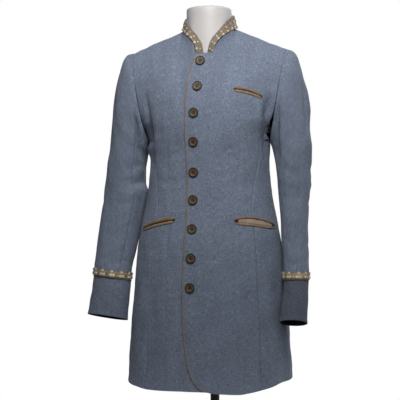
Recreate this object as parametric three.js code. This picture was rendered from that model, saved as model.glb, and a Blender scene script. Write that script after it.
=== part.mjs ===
// A thigh-length coat with a stand collar, on a limbless dress form with a round foot.
// Millimetres, +Z up. The wearer faces -Y, and the wearer's left is +X.
// The origin is the centre of the foot's underside.
import * as THREE from "three";

const CLOTH = 2; // wool with its facing
const SEAM = 0.4; // free gap between two pieces at a seam
const OVERLAP = CLOTH + 0.6; // how far the outer front stands off the inner one
const BODY_AT = [-10, -16]; // the coat's axis, from the pole

const HEM_Z = 102;
const UNDERARM_Z = 693;
const TIP = { x: 188, y: -4, z: 911 }; // the shoulder seam's outer end
const NECK_SIDE = { x: 66, y: -4, z: 964.5 }; // its inner end
const NECK_SHARE = 0.39; // share of a quarter turn that ends on the neckline
const ARMHOLE_FRONT = 62; // how far the armhole reaches forward
const ARMHOLE_BACK = 66;
const CHEST_ROUND = 3;
const BLADE_ROUND = 8;
const SECTION_POWER = 2.25; // squareness of the body's sections
const HIGH_LEFT = 3; // the coat hangs this much higher on the wearer's left

// Sections from hem to underarm: half width, depth in front of the axis, depth behind it.
const BODY = {
  columns: ["z", "side", "front", "back"],
  rows: [
    [102, 203, 146, 150],
    [140, 201, 144, 148],
    [190, 198, 142, 146],
    [240, 195.5, 140, 143],
    [300, 190, 138, 140],
    [355, 185.5, 135.5, 136],
    [405, 181, 133, 131],
    [455, 174, 129, 124],
    [500, 165, 124, 114],
    [550, 155.5, 119, 104],
    [600, 148.5, 116, 98],
    [650, 146, 117, 100],
    [693, 147, 121, 106],
  ],
};
// The neckline from the centre front to the shoulder seam, and from there to the centre back.
const NECK_FRONT = {
  columns: ["share", "x", "y", "z"],
  rows: [
    [0, 0, -87, 899.5],
    [0.3, 22, -86, 901],
    [0.42, 28, -79, 921],
    [0.58, 38, -68, 936],
    [0.73, 49, -54, 948],
    [0.87, 60, -32, 958.5],
    [1, 66, -4, 964.5],
  ],
};
const NECK_BACK = {
  columns: ["share", "x", "y", "z"],
  rows: [
    [0, 0, 57, 976],
    [0.5, 36, 49, 974],
    [0.8, 60, 28, 970],
    [1, 66, -4, 964.5],
  ],
};
// The collar from its front end to the centre back: sewn edge and free edge.
const COLLAR = {
  columns: ["share", "sx", "sy", "sz", "tx", "ty", "tz"],
  rows: [
    [0, 21.3, -85.5, 905, 6, -71, 903.5],
    [0.12, 26.6, -79, 923, 10, -70, 923],
    [0.24, 37, -68, 938.5, 21, -66.5, 942],
    [0.36, 49, -54, 949, 36, -57.5, 961],
    [0.48, 60, -32, 959.5, 51, -39, 981],
    [0.62, 66.5, -4, 965.5, 60, -8, 994],
    [0.76, 61, 28, 971, 54.5, 23, 1000],
    [0.88, 37, 49.5, 975, 32.5, 44, 1003],
    [1, 0, 57.5, 977, 0, 52, 1004],
  ],
};
// How far the outer front's edge lies to the wearer's right of the centre.
const FRONT_EDGE = {
  columns: ["z", "x"],
  rows: [
    [102, 22],
    [104.5, 12],
    [111, -3],
    [122, -13],
    [148, -26.5],
    [180, -34],
    [212, -38.5],
    [250, -42],
    [300, -43.5],
    [400, -43],
    [490, -37],
    [600, -35],
    [650, -37],
    [700, -40],
    [750, -40],
    [816, -34.5],
    [870, -26],
    [903, -21],
  ],
};
const INNER_FRONT_X = 8; // where the inner front ends, under the outer one
// Each sleeve's sections from the shoulder down: outer and inner point, middle and half depth,
// and how much higher the front of the section is than its middle.
const SLEEVE_CAP = [
  [203, 909.5, 148, 690, 1.5, 65, 0],
  [213, 899, 149.5, 687, 2, 66, 0],
  [220.5, 878, 150.5, 684, 2.5, 67, 0],
  [229, 848, 151.5, 681, 3, 67, 0],
  [236.5, 812, 152.5, 677.5, 3.5, 66.5, 0],
  [242, 768, 154, 672, 4, 65.5, 0],
  [245, 722, 156.5, 662, 5, 64, 0],
  [249, 680, 159, 648, 5, 63, 0],
];
const SLEEVE_COLUMNS = ["outX", "outZ", "inX", "inZ", "midY", "deep", "rise"];
const SLEEVE_LEFT = {
  columns: SLEEVE_COLUMNS,
  rows: [
    ...SLEEVE_CAP,
    [247.5, 640, 161.5, 626, 6, 62, 0],
    [246, 590, 166, 584, 6, 61, 0],
    [242.5, 545, 170, 543, 2, 59.5, 0],
    [241, 500, 174.5, 500, -7, 58, 0],
    [242, 455, 177, 455, -18, 56, 0],
    [243.5, 410, 182.5, 410, -32, 54, 1],
    [245, 386, 184, 386, -41, 52.9, 1.7],
    [245.5, 362, 184.8, 362, -49.5, 51.9, 2.6],
  ],
};
const SLEEVE_RIGHT = {
  columns: SLEEVE_COLUMNS,
  rows: [
    ...SLEEVE_CAP,
    [256, 643, 162, 628, 6, 61, 0],
    [260, 604, 162, 592, 6, 59.5, 0],
    [263.5, 580, 153.8, 568, 5, 58.5, 0],
    [266.5, 548, 158.6, 536, 3, 57, 0],
    [271, 508, 167, 496, -4, 54, 0],
    [275, 462, 176.4, 450, -14, 50, 0],
    [277.5, 430, 182, 420, -22, 47, 1],
    [278.5, 412, 186, 400, -28, 45, 1],
    [279.9, 391, 188.4, 379.5, -35.3, 43.2, 1.9],
    [280.9, 367, 189.4, 356, -41.3, 41.7, 2.9],
  ],
};
const CUFF_LEFT = {
  columns: SLEEVE_COLUMNS,
  rows: [
    [245.5, 361.4, 184.8, 361.4, -49.5, 51.9, 2.6],
    [245.3, 334, 184.5, 334, -59, 51.3, 4.5],
    [244.3, 298, 182.2, 298, -71.3, 50.6, 8.1],
    [243.5, 260, 179, 260, -83, 50, 12],
  ],
};
const CUFF_RIGHT = {
  columns: SLEEVE_COLUMNS,
  rows: [
    [280.9, 366.4, 189.4, 355.4, -41.3, 41.7, 2.9],
    [284, 335, 191, 325, -46, 41, 5],
    [289.5, 303, 193.5, 292, -50, 40, 6.5],
    [293, 271, 195.5, 259, -54, 39, 8],
  ],
};
const TRIM_TALL = 20; // beaded ribbon round each sleeve end

const BUTTON = {
  radius: 11.5,
  thick: 4.4,
  at: [
    [-9, 879.5],
    [-13, 818.5],
    [-20, 755.5],
    [-21.5, 687.5],
    [-21.5, 615.5],
    [-22, 550],
    [-23.5, 481.5],
    [-25, 413],
    [-27, 344],
  ],
};
// Welted pockets: inner end, middle and outer end of the slit, and how far it gapes.
const POCKETS = [
  { name: "hip_pocket_right", side: -1, line: [[67, 503], [112, 496], [152, 484]], gape: 1.2 },
  { name: "hip_pocket_left", side: 1, line: [[75, 500], [117, 498], [156, 487]], gape: 12 },
  { name: "breast_pocket", side: 1, line: [[72, 811], [104, 806], [137, 794]], gape: 1.2 },
];
const JET_TALL = 5.8;
const JET_THICK = 1.6;
const PIPING_RADIUS = 1.5;

const FORM_BOTTOM_Z = 190;
const FORM_CLEAR = 6; // free space between the form and the cloth, below the shoulders
const FORM_TOUCH = 0.5; // at the shoulders, where the cloth rests on it
const FORM_THROAT = 20; // in front and behind the neck, inside the collar
const FORM_NECK = { radius: 56, y: -8, from: 1000, top: 1018 };
const POLE_RADIUS = 11;
const FOOT = { radius: 150, thick: 12 };
const SOCKET = { radius: 34, tall: 16 };

const wool = { color: 0x6d7684, roughness: 0.95 };
const suede = { color: 0x8a6a50, roughness: 0.9 };
const ribbon = { color: 0xb59a78, roughness: 0.7 };
const horn = { color: 0x4e4636, roughness: 0.5 };
const shell = { color: 0xdedad6, roughness: 0.6 };
const steel = { color: 0x1c1c1e, roughness: 0.4, metalness: 0.6 };

const mix = (a, b, share) => a + (b - a) * share;
const clamp = (value, low, high) => Math.min(high, Math.max(low, value));
const smooth = (value) => {
  const share = clamp(value, 0, 1);
  return share * share * (3 - 2 * share);
};
const steps = (count) => Array.from({ length: count + 1 }, (_, i) => i / count);
const vector = (x, y, z) => new THREE.Vector3(x, y, z);

// A table's named columns at any value of its first one, on a smooth curve through its rows.
function tableAt(table, value) {
  const { columns, rows } = table;
  const inside = clamp(value, rows[0][0], rows[rows.length - 1][0]);
  let low = 0;
  while (low < rows.length - 2 && rows[low + 1][0] < inside) low++;
  const share = (inside - rows[low][0]) / (rows[low + 1][0] - rows[low][0]);
  return Object.fromEntries(columns.map((name, k) => [name, curveAt(rows, low, k, share)]));
}

// One column between two rows, a cubic whose slopes come from the neighbouring rows.
function curveAt(rows, low, k, share) {
  const span = (i) => rows[i + 1][0] - rows[i][0];
  const rise = (i) => (rows[i + 1][k] - rows[i][k]) / span(i);
  const slope = (i) => {
    if (i === 0) return rise(0);
    if (i === rows.length - 1) return rise(i - 1);
    const before = rise(i - 1);
    const after = rise(i);
    return before * after <= 0 ? 0 : (2 * before * after) / (before + after);
  };
  const wide = span(low);
  const s2 = share * share;
  const s3 = s2 * share;
  return (
    (2 * s3 - 3 * s2 + 1) * rows[low][k] +
    (s3 - 2 * s2 + share) * wide * slope(low) +
    (3 * s2 - 2 * s3) * rows[low + 1][k] +
    (s3 - s2) * wide * slope(low + 1)
  );
}

// The body's section at one height: turn is 0 at the front, 90 at the wearer's left.
function ringPoint(turn, z) {
  const at = tableAt(BODY, z);
  const angle = THREE.MathUtils.degToRad(turn);
  const forward = Math.cos(angle);
  const across = Math.sin(angle);
  const deep = forward > 0 ? at.front : at.back;
  const reach =
    (Math.abs(forward) / deep) ** SECTION_POWER + (Math.abs(across) / at.side) ** SECTION_POWER;
  const radius = reach ** (-1 / SECTION_POWER);
  return vector(radius * across, -radius * forward, z);
}

// Where a column of the upper front or back ends, on the neckline or the shoulder seam.
function topPoint(column, table) {
  if (column < NECK_SHARE) {
    const at = tableAt(table, column / NECK_SHARE);
    return vector(at.x, at.y, at.z);
  }
  const share = (column - NECK_SHARE) / (1 - NECK_SHARE);
  return vector(mix(NECK_SIDE.x, TIP.x, share), NECK_SIDE.y, mix(NECK_SIDE.z, TIP.z, share));
}

// The coat's outer surface. level is 0 at the hem, 1 at the underarm and 2 at the top.
function bodyPoint(turn, level) {
  if (level <= 1) return ringPoint(turn, mix(HEM_Z, UNDERARM_Z, level));
  const wrapped = turn > 180 ? turn - 360 : turn;
  const side = wrapped < 0 ? -1 : 1;
  const across = Math.abs(wrapped);
  const isFront = across <= 90;
  const column = isFront ? across / 90 : (180 - across) / 90;
  const lift = (level - 1) * Math.PI;
  const up = (1 - Math.cos(lift)) / 2;
  const low = ringPoint(across, UNDERARM_Z);
  const top = topPoint(column, isFront ? NECK_FRONT : NECK_BACK);
  const onShoulder = smooth((column - NECK_SHARE + 0.2) / 0.3);
  const rounded = 0.45 * up ** 3 + 0.55 * (1 - Math.sqrt(Math.max(0, 1 - up * up)));
  const lean = mix(up ** 2.2, rounded, onShoulder);
  const armholeX = mix(ringPoint(90, UNDERARM_Z).x, TIP.x, up ** 0.8);
  const straightX = mix(ringPoint(90, UNDERARM_Z).x, TIP.x, smooth(up));
  const x = mix(low.x, top.x, smooth(up)) + column ** 4 * (armholeX - straightX);
  const outward = Math.sin(lift) * mix(smooth(up / 0.2), 1, column ** 4);
  const reach = (isFront ? -ARMHOLE_FRONT : ARMHOLE_BACK) * column ** 3 * outward;
  const round = (isFront ? -CHEST_ROUND : BLADE_ROUND) * Math.sin(Math.PI * up) ** 2;
  const height = mix(UNDERARM_Z, top.z, up);
  const slope = (low.y - ringPoint(across, UNDERARM_Z - 2).y) / 2;
  const carriedOn = slope * (height - UNDERARM_Z) * (1 - up) ** 3;
  const y = mix(low.y, top.y, lean) + carriedOn + reach + round * (1 - column * column);
  const z = height + (HIGH_LEFT * side * x * up) / TIP.x;
  return vector(side * x, y, z);
}

// The outward direction of that surface, upright along the shoulder seam.
function bodyNormal(turn, level) {
  const wrapped = turn > 180 ? turn - 360 : turn;
  const side = wrapped < 0 ? -1 : 1;
  const across = Math.abs(wrapped);
  const small = 0.4;
  const atSide = level > 1;
  const lowTurn = atSide && across > 90 ? Math.max(90.001, across - small) : across - small;
  const highTurn = atSide && across <= 90 ? Math.min(90, across + small) : across + small;
  const round = bodyPoint(highTurn, level).sub(bodyPoint(Math.max(0, lowTurn), level));
  const above = Math.min(2, level + 0.006);
  const upward = bodyPoint(across, above).sub(bodyPoint(across, Math.max(0, above - 0.012)));
  const normal = round.cross(upward).normalize();
  const column = across <= 90 ? across / 90 : (180 - across) / 90;
  const seam = smooth((level - 1.8) / 0.2) * smooth((column - NECK_SHARE + 0.08) / 0.08);
  normal.lerp(vector(0, 0, 1), seam).normalize();
  return vector(side * normal.x, normal.y, normal.z);
}

// The turn at which the body's surface has this x.
function turnAt(x, level, from = 0) {
  let low = from === 0 ? -90 : 90;
  let high = from === 0 ? 90 : 270;
  for (let i = 0; i < 40; i++) {
    const middle = (low + high) / 2;
    const more = bodyPoint(middle, level).x < x;
    if (more === (from === 0)) low = middle;
    else high = middle;
  }
  return (low + high) / 2;
}

// The level at which the front reaches this height at this x.
function levelAt(x, z) {
  let low = 0;
  let high = 2;
  for (let i = 0; i < 40; i++) {
    const middle = (low + high) / 2;
    if (bodyPoint(turnAt(x, middle), middle).z < z) low = middle;
    else high = middle;
  }
  return (low + high) / 2;
}

// How far the outer front is lifted over the inner one. It comes down sooner by the collar.
const overlapLift = ({ x, z }) =>
  OVERLAP * (1 - smooth((x - INNER_FRONT_X - 10) / mix(30, 14, smooth((z - 800) / 80))));

// A point and its outward direction on the cloth, raised by lift.
function onBody(turn, level, lift = 0) {
  const n = bodyNormal(turn, level);
  return { p: bodyPoint(turn, level).addScaledVector(n, lift), n };
}

// A place on the front of the coat, by its x and height.
function onFront(x, z, lift = 0) {
  const level = levelAt(x, z);
  const isOuter = x > tableAt(FRONT_EDGE, z).x;
  return onBody(turnAt(x, level), level, lift + (isOuter ? overlapLift(vector(x, 0, z)) : 0));
}

// A closed mesh from triangles of points, with equal points joined and empty faces left out.
function closedGeometry(triangles) {
  const index = new Map();
  const positions = [];
  const idOf = (p) => {
    const key = [p.x, p.y, p.z].map((value) => Math.round(value * 500)).join();
    if (!index.has(key)) {
      index.set(key, index.size);
      positions.push(p.x, p.y, p.z);
    }
    return index.get(key);
  };
  let faces = triangles.map((corners) => corners.map(idOf));
  faces = faces.filter(([a, b, c]) => a !== b && b !== c && a !== c);
  const corner = (i) => vector(...positions.slice(3 * i, 3 * i + 3));
  const volume = faces.reduce(
    (sum, [a, b, c]) => sum + corner(a).dot(corner(b).cross(corner(c))),
    0,
  );
  if (volume < 0) faces = faces.map(([a, b, c]) => [a, c, b]);
  const geometry = new THREE.BufferGeometry();
  geometry.setAttribute("position", new THREE.Float32BufferAttribute(positions, 3));
  geometry.setIndex(faces.flat());
  geometry.computeVertexNormals();
  return geometry;
}

// Two triangles for each cell of a grid of points.
function gridTriangles(grid, isTurned) {
  const triangles = [];
  for (let i = 0; i + 1 < grid.length; i++)
    for (let j = 0; j + 1 < grid[i].length; j++) {
      const [a, b, c, d] = [grid[i][j], grid[i][j + 1], grid[i + 1][j + 1], grid[i + 1][j]];
      if (isTurned) triangles.push([a, c, b], [a, d, c]);
      else triangles.push([a, b, c], [a, c, d]);
    }
  return triangles;
}

// A wall under a grid of places: its outer side is on them, its inner side is thick below them.
function wallGeometry(places, thick) {
  const outer = places.map((row) => row.map(({ p }) => p));
  const inner = places.map((row) => row.map(({ p, n }) => p.clone().addScaledVector(n, -thick)));
  const last = places.length - 1;
  const column = (grid, j) => grid.map((row) => row[j]);
  const end = outer[0].length - 1;
  return closedGeometry([
    ...gridTriangles(outer, false),
    ...gridTriangles(inner, true),
    ...gridTriangles([inner[0], outer[0]], false),
    ...gridTriangles([outer[last], inner[last]], false),
    ...gridTriangles([column(outer, 0), column(inner, 0)], false),
    ...gridTriangles([column(inner, end), column(outer, end)], false),
  ]);
}

// A bar along a path: each place gives its point and two directions, and the outline is in them.
function barGeometry(places, outline) {
  const rings = places.map(({ p, across, out }) =>
    outline.map(([a, o]) => p.clone().addScaledVector(across, a).addScaledVector(out, o)),
  );
  const closed = rings.map((ring) => [...ring, ring[0]]);
  const cap = (ring, isTurned) =>
    ring.slice(2).map((_, i) => {
      const [a, b] = [ring[i + 1], ring[i + 2]];
      return isTurned ? [ring[0], b, a] : [ring[0], a, b];
    });
  return closedGeometry([
    ...gridTriangles(closed, false),
    ...cap(rings[0], true),
    ...cap(rings[rings.length - 1], false),
  ]);
}

const roundOutline = (radius, sides) =>
  Array.from({ length: sides }, (_, i) => {
    const angle = (2 * Math.PI * i) / sides;
    return [radius * Math.cos(angle), radius * Math.sin(angle)];
  });

// Places along a line on the cloth, with the direction across it, kept off the line by side.
function alongCloth(places, side) {
  return places.map(({ p, n }, i) => {
    const before = places[Math.max(0, i - 1)].p;
    const after = places[Math.min(places.length - 1, i + 1)].p;
    const across = after.clone().sub(before).normalize().cross(n).normalize();
    const out = across.clone().cross(after.clone().sub(before).normalize()).normalize();
    if (out.dot(n) < 0) out.negate();
    return { p: p.clone().addScaledVector(across, side), across, out };
  });
}

const worn = new THREE.Group();
worn.position.set(...BODY_AT, 0);
const stand = new THREE.Group();
const whole = new THREE.Group();
whole.add(worn, stand);

function addPiece(group, name, geometry, look) {
  const mesh = new THREE.Mesh(geometry, new THREE.MeshStandardMaterial(look));
  mesh.name = name;
  group.add(mesh);
  return mesh;
}

// ---- Body panels: two fronts, two side bodies and two backs ----

const CORNER_LEVELS = [0, 0.006, 0.015, 0.034]; // the outer front's rounded corner
const LOW_LEVELS = [0, 0.078, 0.15, 0.23, 0.32, 0.42, 0.52, 0.62, 0.72, 0.8, 0.88, 0.95, 1];
const HORN = 0.25; // the side body's corners end this far up the armhole
const HORN_LEVELS = [0.25, 0.5, 0.75, 1].map((share) => 1 + share * HORN);
const HIGH_LEVELS = [1.35, 1.45, 1.55, 1.65, 1.75, 1.85, 1.93, 1.9985];
const LEVELS = [...LOW_LEVELS, ...HORN_LEVELS, ...HIGH_LEVELS];
const FRONT_LEVELS = [...CORNER_LEVELS, ...LEVELS.slice(1)];
// Columns from the centre to the side. The first ones follow the neckline's bends.
const FRONT_COLUMNS = [0, 0.06, 0.117, 0.164, 0.226, 0.285, 0.34, 0.39, 0.5, 0.62, 0.74, 0.87, 1];
const BACK_COLUMNS = [0, 0.13, 0.26, 0.39, 0.54, 0.7, 0.85, 1];
const SIDE_SEAM = { below: 51, atUnderarm: 66 };

// The turn of the seam between the front and the side body.
function sideSeam(level) {
  if (level <= 1) return mix(SIDE_SEAM.below, SIDE_SEAM.atUnderarm, smooth((level - 0.7) / 0.3));
  return Math.min(90, mix(SIDE_SEAM.atUnderarm, 90, ((level - 1) / HORN) ** 2));
}

// Half a seam gap as a turn, at this place.
function gapTurn(turn, level) {
  const wide = bodyPoint(turn + 0.5, level).distanceTo(bodyPoint(turn - 0.5, level));
  return SEAM / 2 / wide;
}

// Draws a panel's top row back from the shoulder seam.
function clearOfSeam(rows, way) {
  rows[rows.length - 1].forEach(({ p }) => {
    if (Math.abs(p.x) > NECK_SIDE.x - 1) p.y += (way * SEAM) / 2;
  });
  return rows;
}

function frontPanel(isOuter) {
  const rows = FRONT_LEVELS.map((level) => {
    const edgeZ = bodyPoint(-10, level).z;
    const edge = isOuter ? tableAt(FRONT_EDGE, edgeZ).x : -INNER_FRONT_X;
    const from = turnAt(edge, level);
    const seam = sideSeam(level);
    const to = seam - (level < 1 + HORN ? gapTurn(seam, level) : 0);
    const middle = Math.max(0, from + 3);
    const edgeColumns = isOuter ? [from, mix(from, middle, 0.5)] : [from];
    const columns = edgeColumns.concat(FRONT_COLUMNS.map((share) => mix(middle, to, share)));
    return columns.map((turn) => {
      const lift = isOuter ? overlapLift(bodyPoint(turn, level)) : 0;
      const side = isOuter ? 1 : -1;
      return onBody(side * turn, level, lift);
    });
  });
  return wallGeometry(clearOfSeam(rows, -1), CLOTH);
}

function sideBody(side) {
  const columns = steps(8).map((share) => 2 * share - 1);
  const middles = columns.map((c) => {
    const back = c > 0;
    const reach = Math.abs(c);
    const low = LOW_LEVELS.map((level) => {
      const seam = sideSeam(level);
      const turn = mix(90, seam + gapTurn(seam, level), reach);
      return onBody(side * (back ? 180 - turn : turn), level);
    });
    const atUnderarm = sideSeam(1) + 2 * gapTurn(sideSeam(1), 1);
    const high = [0.25, 0.5, 0.75, 0.92].map((share) => {
      const level = 1 + share * HORN * reach;
      const turn = Math.min(90, mix(mix(90, atUnderarm, reach), 90, share ** 2));
      return onBody(side * (back ? 180 - turn + 0.001 : turn), level);
    });
    return [...low, ...high];
  });
  const rows = middles[0].map((_, i) => middles.map((column) => column[i]));
  return wallGeometry(rows, CLOTH);
}

function backPanel(side) {
  const rows = LEVELS.map((level) => {
    const seam = 180 - sideSeam(level);
    const from = level < 1 + HORN ? seam + gapTurn(seam, level) : 90.001;
    const to = 180 - gapTurn(180, level);
    return BACK_COLUMNS.map((share) => onBody(side * mix(to, from, share), level));
  });
  return wallGeometry(clearOfSeam(rows, 1), CLOTH);
}

addPiece(worn, "front_left", frontPanel(true), wool);
addPiece(worn, "front_right", frontPanel(false), wool);
for (const [name, side] of [["left", 1], ["right", -1]]) {
  addPiece(worn, "side_body_" + name, sideBody(side), wool);
  addPiece(worn, "back_" + name, backPanel(side), wool);
}

// ---- Sleeves: a top and an under sleeve each, a cuff, its ribbon and its piping ----

// The armhole: around is 0 at the shoulder tip, 90 in front and 180 under the arm.
function armholePlace(around, side) {
  const isFront = around <= 180;
  const level = 1 + (isFront ? 180 - around : around - 180) / 180;
  const p = bodyPoint(side * (isFront ? 90 : 90.001), level);
  const middle = vector(p.x, 1.5, mix(UNDERARM_Z, TIP.z, 0.5));
  return { p: p.add(vector(side * (SEAM + 0.2), 0, 0)), n: p.clone().sub(middle).normalize() };
}

// A sleeve's section. The outward direction lies in the section's own plane.
function sleevePlace(row, around, side, lift = 0) {
  const angle = THREE.MathUtils.degToRad(around);
  const outer = vector(side * row.outX, row.midY, row.outZ);
  const inner = vector(side * row.inX, row.midY, row.inZ);
  const middle = outer.clone().add(inner).multiplyScalar(0.5);
  const long = outer.clone().sub(middle);
  const half = long.length();
  const along = long.normalize();
  const forward = vector(0, -row.deep, row.rise);
  const p = middle
    .addScaledVector(along, half * Math.cos(angle))
    .addScaledVector(forward, Math.sin(angle));
  const n = along
    .multiplyScalar(Math.cos(angle) / half)
    .addScaledVector(forward.normalize(), Math.sin(angle) / row.deep)
    .normalize();
  return { p: p.addScaledVector(n, lift), n };
}

const rowsOf = ({ columns, rows }) =>
  rows.map((row) => Object.fromEntries(columns.map((name, k) => [name, row[k]])));
const TOP_SLEEVE = { from: -112, to: 124 }; // its seams, round from the outer point
const SLEEVE_GAP_TURN = 0.2;

function sleevePiece(table, side, from, to, count) {
  const turns = steps(count).map((share) => mix(from + SLEEVE_GAP_TURN, to - SLEEVE_GAP_TURN, share));
  const rings = rowsOf(table).map((row) => turns.map((turn) => sleevePlace(row, turn, side)));
  const first = turns.map((turn) => armholePlace((turn + 360) % 360, side));
  return wallGeometry([first, ...rings], CLOTH);
}

// A band right round a section, with a seam at the back.
function bandRound(rows, side, thick, lift) {
  const turns = steps(20).map((share) => mix(-89.7, 269.7, share));
  return wallGeometry(
    rows.map((row) => turns.map((turn) => sleevePlace(row, turn, side, lift))),
    thick,
  );
}

const rowBetween = (a, b, share) =>
  Object.fromEntries(Object.keys(a).map((name) => [name, mix(a[name], b[name], share)]));

for (const [name, side, sleeve, cuff] of [
  ["left", 1, SLEEVE_LEFT, CUFF_LEFT],
  ["right", -1, SLEEVE_RIGHT, CUFF_RIGHT],
]) {
  const { from, to } = TOP_SLEEVE;
  addPiece(worn, "sleeve_top_" + name, sleevePiece(sleeve, side, from, to, 12), wool);
  addPiece(worn, "sleeve_under_" + name, sleevePiece(sleeve, side, to, from + 360, 7), wool);
  const cuffRows = rowsOf(cuff);
  addPiece(worn, "cuff_" + name, bandRound(cuffRows, side, CLOTH, 0), wool);
  const ends = rowsOf(sleeve).slice(-2);
  const tall = ends[0].outZ - ends[1].outZ;
  const bandRows = steps(2).map((share) =>
    rowBetween(ends[1], ends[0], 0.06 + (share * TRIM_TALL) / tall),
  );
  addPiece(worn, "cuff_ribbon_" + name, bandRound(bandRows, side, 1.5, 2.4), ribbon);
  const pipingRow = rowBetween(cuffRows[0], cuffRows[1], 0.07);
  const pipingPlaces = steps(28).map((share) => {
    const { p, n } = sleevePlace(pipingRow, mix(-89, 269, share), side, PIPING_RADIUS + 0.3);
    return { p, across: vector(0, 0, 1), out: n };
  });
  const piping = barGeometry(pipingPlaces, roundOutline(PIPING_RADIUS, 6));
  addPiece(worn, "cuff_piping_" + name, piping, suede);
}

// ---- Collar, its ribbon and the binding on its free edge ----

// The collar right round, from the wearer's left end (share 0) to the right end (share 2).
function collarPlace(share, height) {
  const side = share <= 1 ? 1 : -1;
  const at = tableAt(COLLAR, share <= 1 ? share : 2 - share);
  const tilt = HIGH_LEFT * side;
  const sewn = vector(side * at.sx, at.sy, at.sz + (tilt * at.sx) / TIP.x);
  const free = vector(side * at.tx, at.ty, at.tz + (tilt * at.tx) / NECK_SIDE.x);
  const up = free.clone().sub(sewn).normalize();
  const p = sewn.lerp(free, height);
  if (side > 0) p.y -= OVERLAP * (1 - smooth(share / 0.4));
  return { p, up };
}

function collarFrame(share, height, lift = 0) {
  const { p, up } = collarPlace(share, height);
  const before = collarPlace(Math.max(0, share - 0.01), height).p;
  const after = collarPlace(Math.min(2, share + 0.01), height).p;
  const along = after.sub(before).normalize();
  const n = along.clone().cross(up).normalize();
  const axis = vector(p.x, p.y - FORM_NECK.y, 0);
  if (n.dot(axis) < 0) n.negate();
  return { p: p.addScaledVector(n, lift), n, up };
}

const COLLAR_SHARES = steps(32).map((share) => 2 * share);
const collarWall = (low, high, thick, lift) =>
  wallGeometry(
    [low, (low + high) / 2, high].map((height) =>
      COLLAR_SHARES.map((share) => collarFrame(share, height, lift)),
    ),
    thick,
  );
addPiece(worn, "collar_band", collarWall(0.06, 1, CLOTH, 0), wool);
addPiece(worn, "collar_ribbon", collarWall(0.1, 0.95, 1.4, 1.7), ribbon);
const bindingPlaces = COLLAR_SHARES.map((share) => {
  const { p, n, up } = collarFrame(share, 1, -CLOTH / 2);
  return { p: p.addScaledVector(up, 1.8), across: n, out: up };
});
const bindingOutline = [[-1.5, -1.4], [1.5, -1.4], [1.2, 1.2], [-1.2, 1.2]];
addPiece(worn, "collar_binding", barGeometry(bindingPlaces, bindingOutline), suede);

// ---- Piping on the front edge, pockets and buttons ----

const EDGE_LEVELS = [0.0005, ...FRONT_LEVELS.slice(1)];
const edgePlaces = EDGE_LEVELS.map((level) => {
  const edge = tableAt(FRONT_EDGE, bodyPoint(-10, level).z).x;
  return onBody(turnAt(edge, level), level, OVERLAP - CLOTH / 2 + 0.4);
});
const pipingAlong = alongCloth(edgePlaces, -(PIPING_RADIUS + 0.6));
addPiece(worn, "front_piping", barGeometry(pipingAlong, roundOutline(PIPING_RADIUS, 6)), suede);

// The slit's line on the cloth, moved up or down.
function slitPlaces([start, middle, end], side, rise, lift) {
  return steps(8).map((share) => {
    const [a, b, c] = [(1 - share) ** 2, 2 * share * (1 - share), share ** 2];
    const bowed = middle.map((value, k) => 2 * value - (start[k] + end[k]) / 2);
    const x = a * start[0] + b * bowed[0] + c * end[0];
    const z = a * start[1] + b * bowed[1] + c * end[1];
    const open = Math.sin(Math.PI * share) ** 0.7;
    return onFront(side * x, z + rise(open), lift);
  });
}

const jetOutline = [
  [-JET_TALL / 2, -JET_THICK / 2],
  [JET_TALL / 2, -JET_THICK / 2],
  [JET_TALL / 2 - 0.4, JET_THICK / 2],
  [-JET_TALL / 2 + 0.4, JET_THICK / 2],
];
for (const { name, side, line, gape } of POCKETS) {
  const apart = (open) => JET_TALL / 2 + 0.25 + (gape * open) / 2;
  const lift = JET_THICK / 2 + 0.55;
  for (const [part, way] of [["upper", 1], ["lower", -1]]) {
    const places = alongCloth(slitPlaces(line, side, (open) => way * apart(open), lift), 0);
    addPiece(worn, name + "_" + part + "_jet", barGeometry(places, jetOutline), suede);
  }
  if (gape > 3) {
    const low = slitPlaces(line, side, (open) => -(gape * open) / 2 + 0.3, 1.2).slice(1, -1);
    const high = slitPlaces(line, side, (open) => (gape * open) / 2 - 0.3, 1.2).slice(1, -1);
    addPiece(worn, name + "_lining", wallGeometry([low, high], 0.9), suede);
  }
}

const buttonProfile = [
  [0, 0],
  [0.62, 0],
  [1, 0.35],
  [1, 0.7],
  [0.86, 1],
  [0.66, 0.72],
  [0.3, 0.6],
  [0, 0.72],
].map(([r, h]) => new THREE.Vector2(r * BUTTON.radius, h * BUTTON.thick));
BUTTON.at.forEach(([x, z], i) => {
  const { p, n } = onFront(x, z, 0.6);
  const solid = closedFromLathe(new THREE.LatheGeometry(buttonProfile, 20));
  const mesh = addPiece(worn, "button_" + (i + 1), solid, horn);
  mesh.position.copy(p);
  mesh.quaternion.setFromUnitVectors(vector(0, 1, 0), n);
});

// A lathe's own triangles, with the points on its axis and its closing seam joined.
function closedFromLathe(geometry) {
  const { position } = geometry.attributes;
  const corner = (i) => new THREE.Vector3().fromBufferAttribute(position, i);
  const order = [...geometry.index.array];
  const triangles = [];
  for (let i = 0; i < order.length; i += 3)
    triangles.push(order.slice(i, i + 3).map(corner));
  return closedGeometry(triangles);
}

// ---- Dress form and stand ----

// The form's skin: the cloth's surface moved in, close to it only along the shoulders.
function formPoint(turn, level) {
  const wrapped = turn > 180 ? turn - 360 : turn;
  const across = Math.abs(wrapped);
  const column = across <= 90 ? across / 90 : (180 - across) / 90;
  const shoulder = smooth((level - 1.9) / 0.1) * smooth((column - NECK_SHARE) / 0.08);
  const throat = smooth((level - 1.6) / 0.4) * smooth((NECK_SHARE - column) / 0.15);
  const clear = mix(mix(FORM_CLEAR, FORM_TOUCH, shoulder), FORM_THROAT, throat);
  return onBody(turn, level, -(CLOTH + clear)).p;
}

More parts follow.
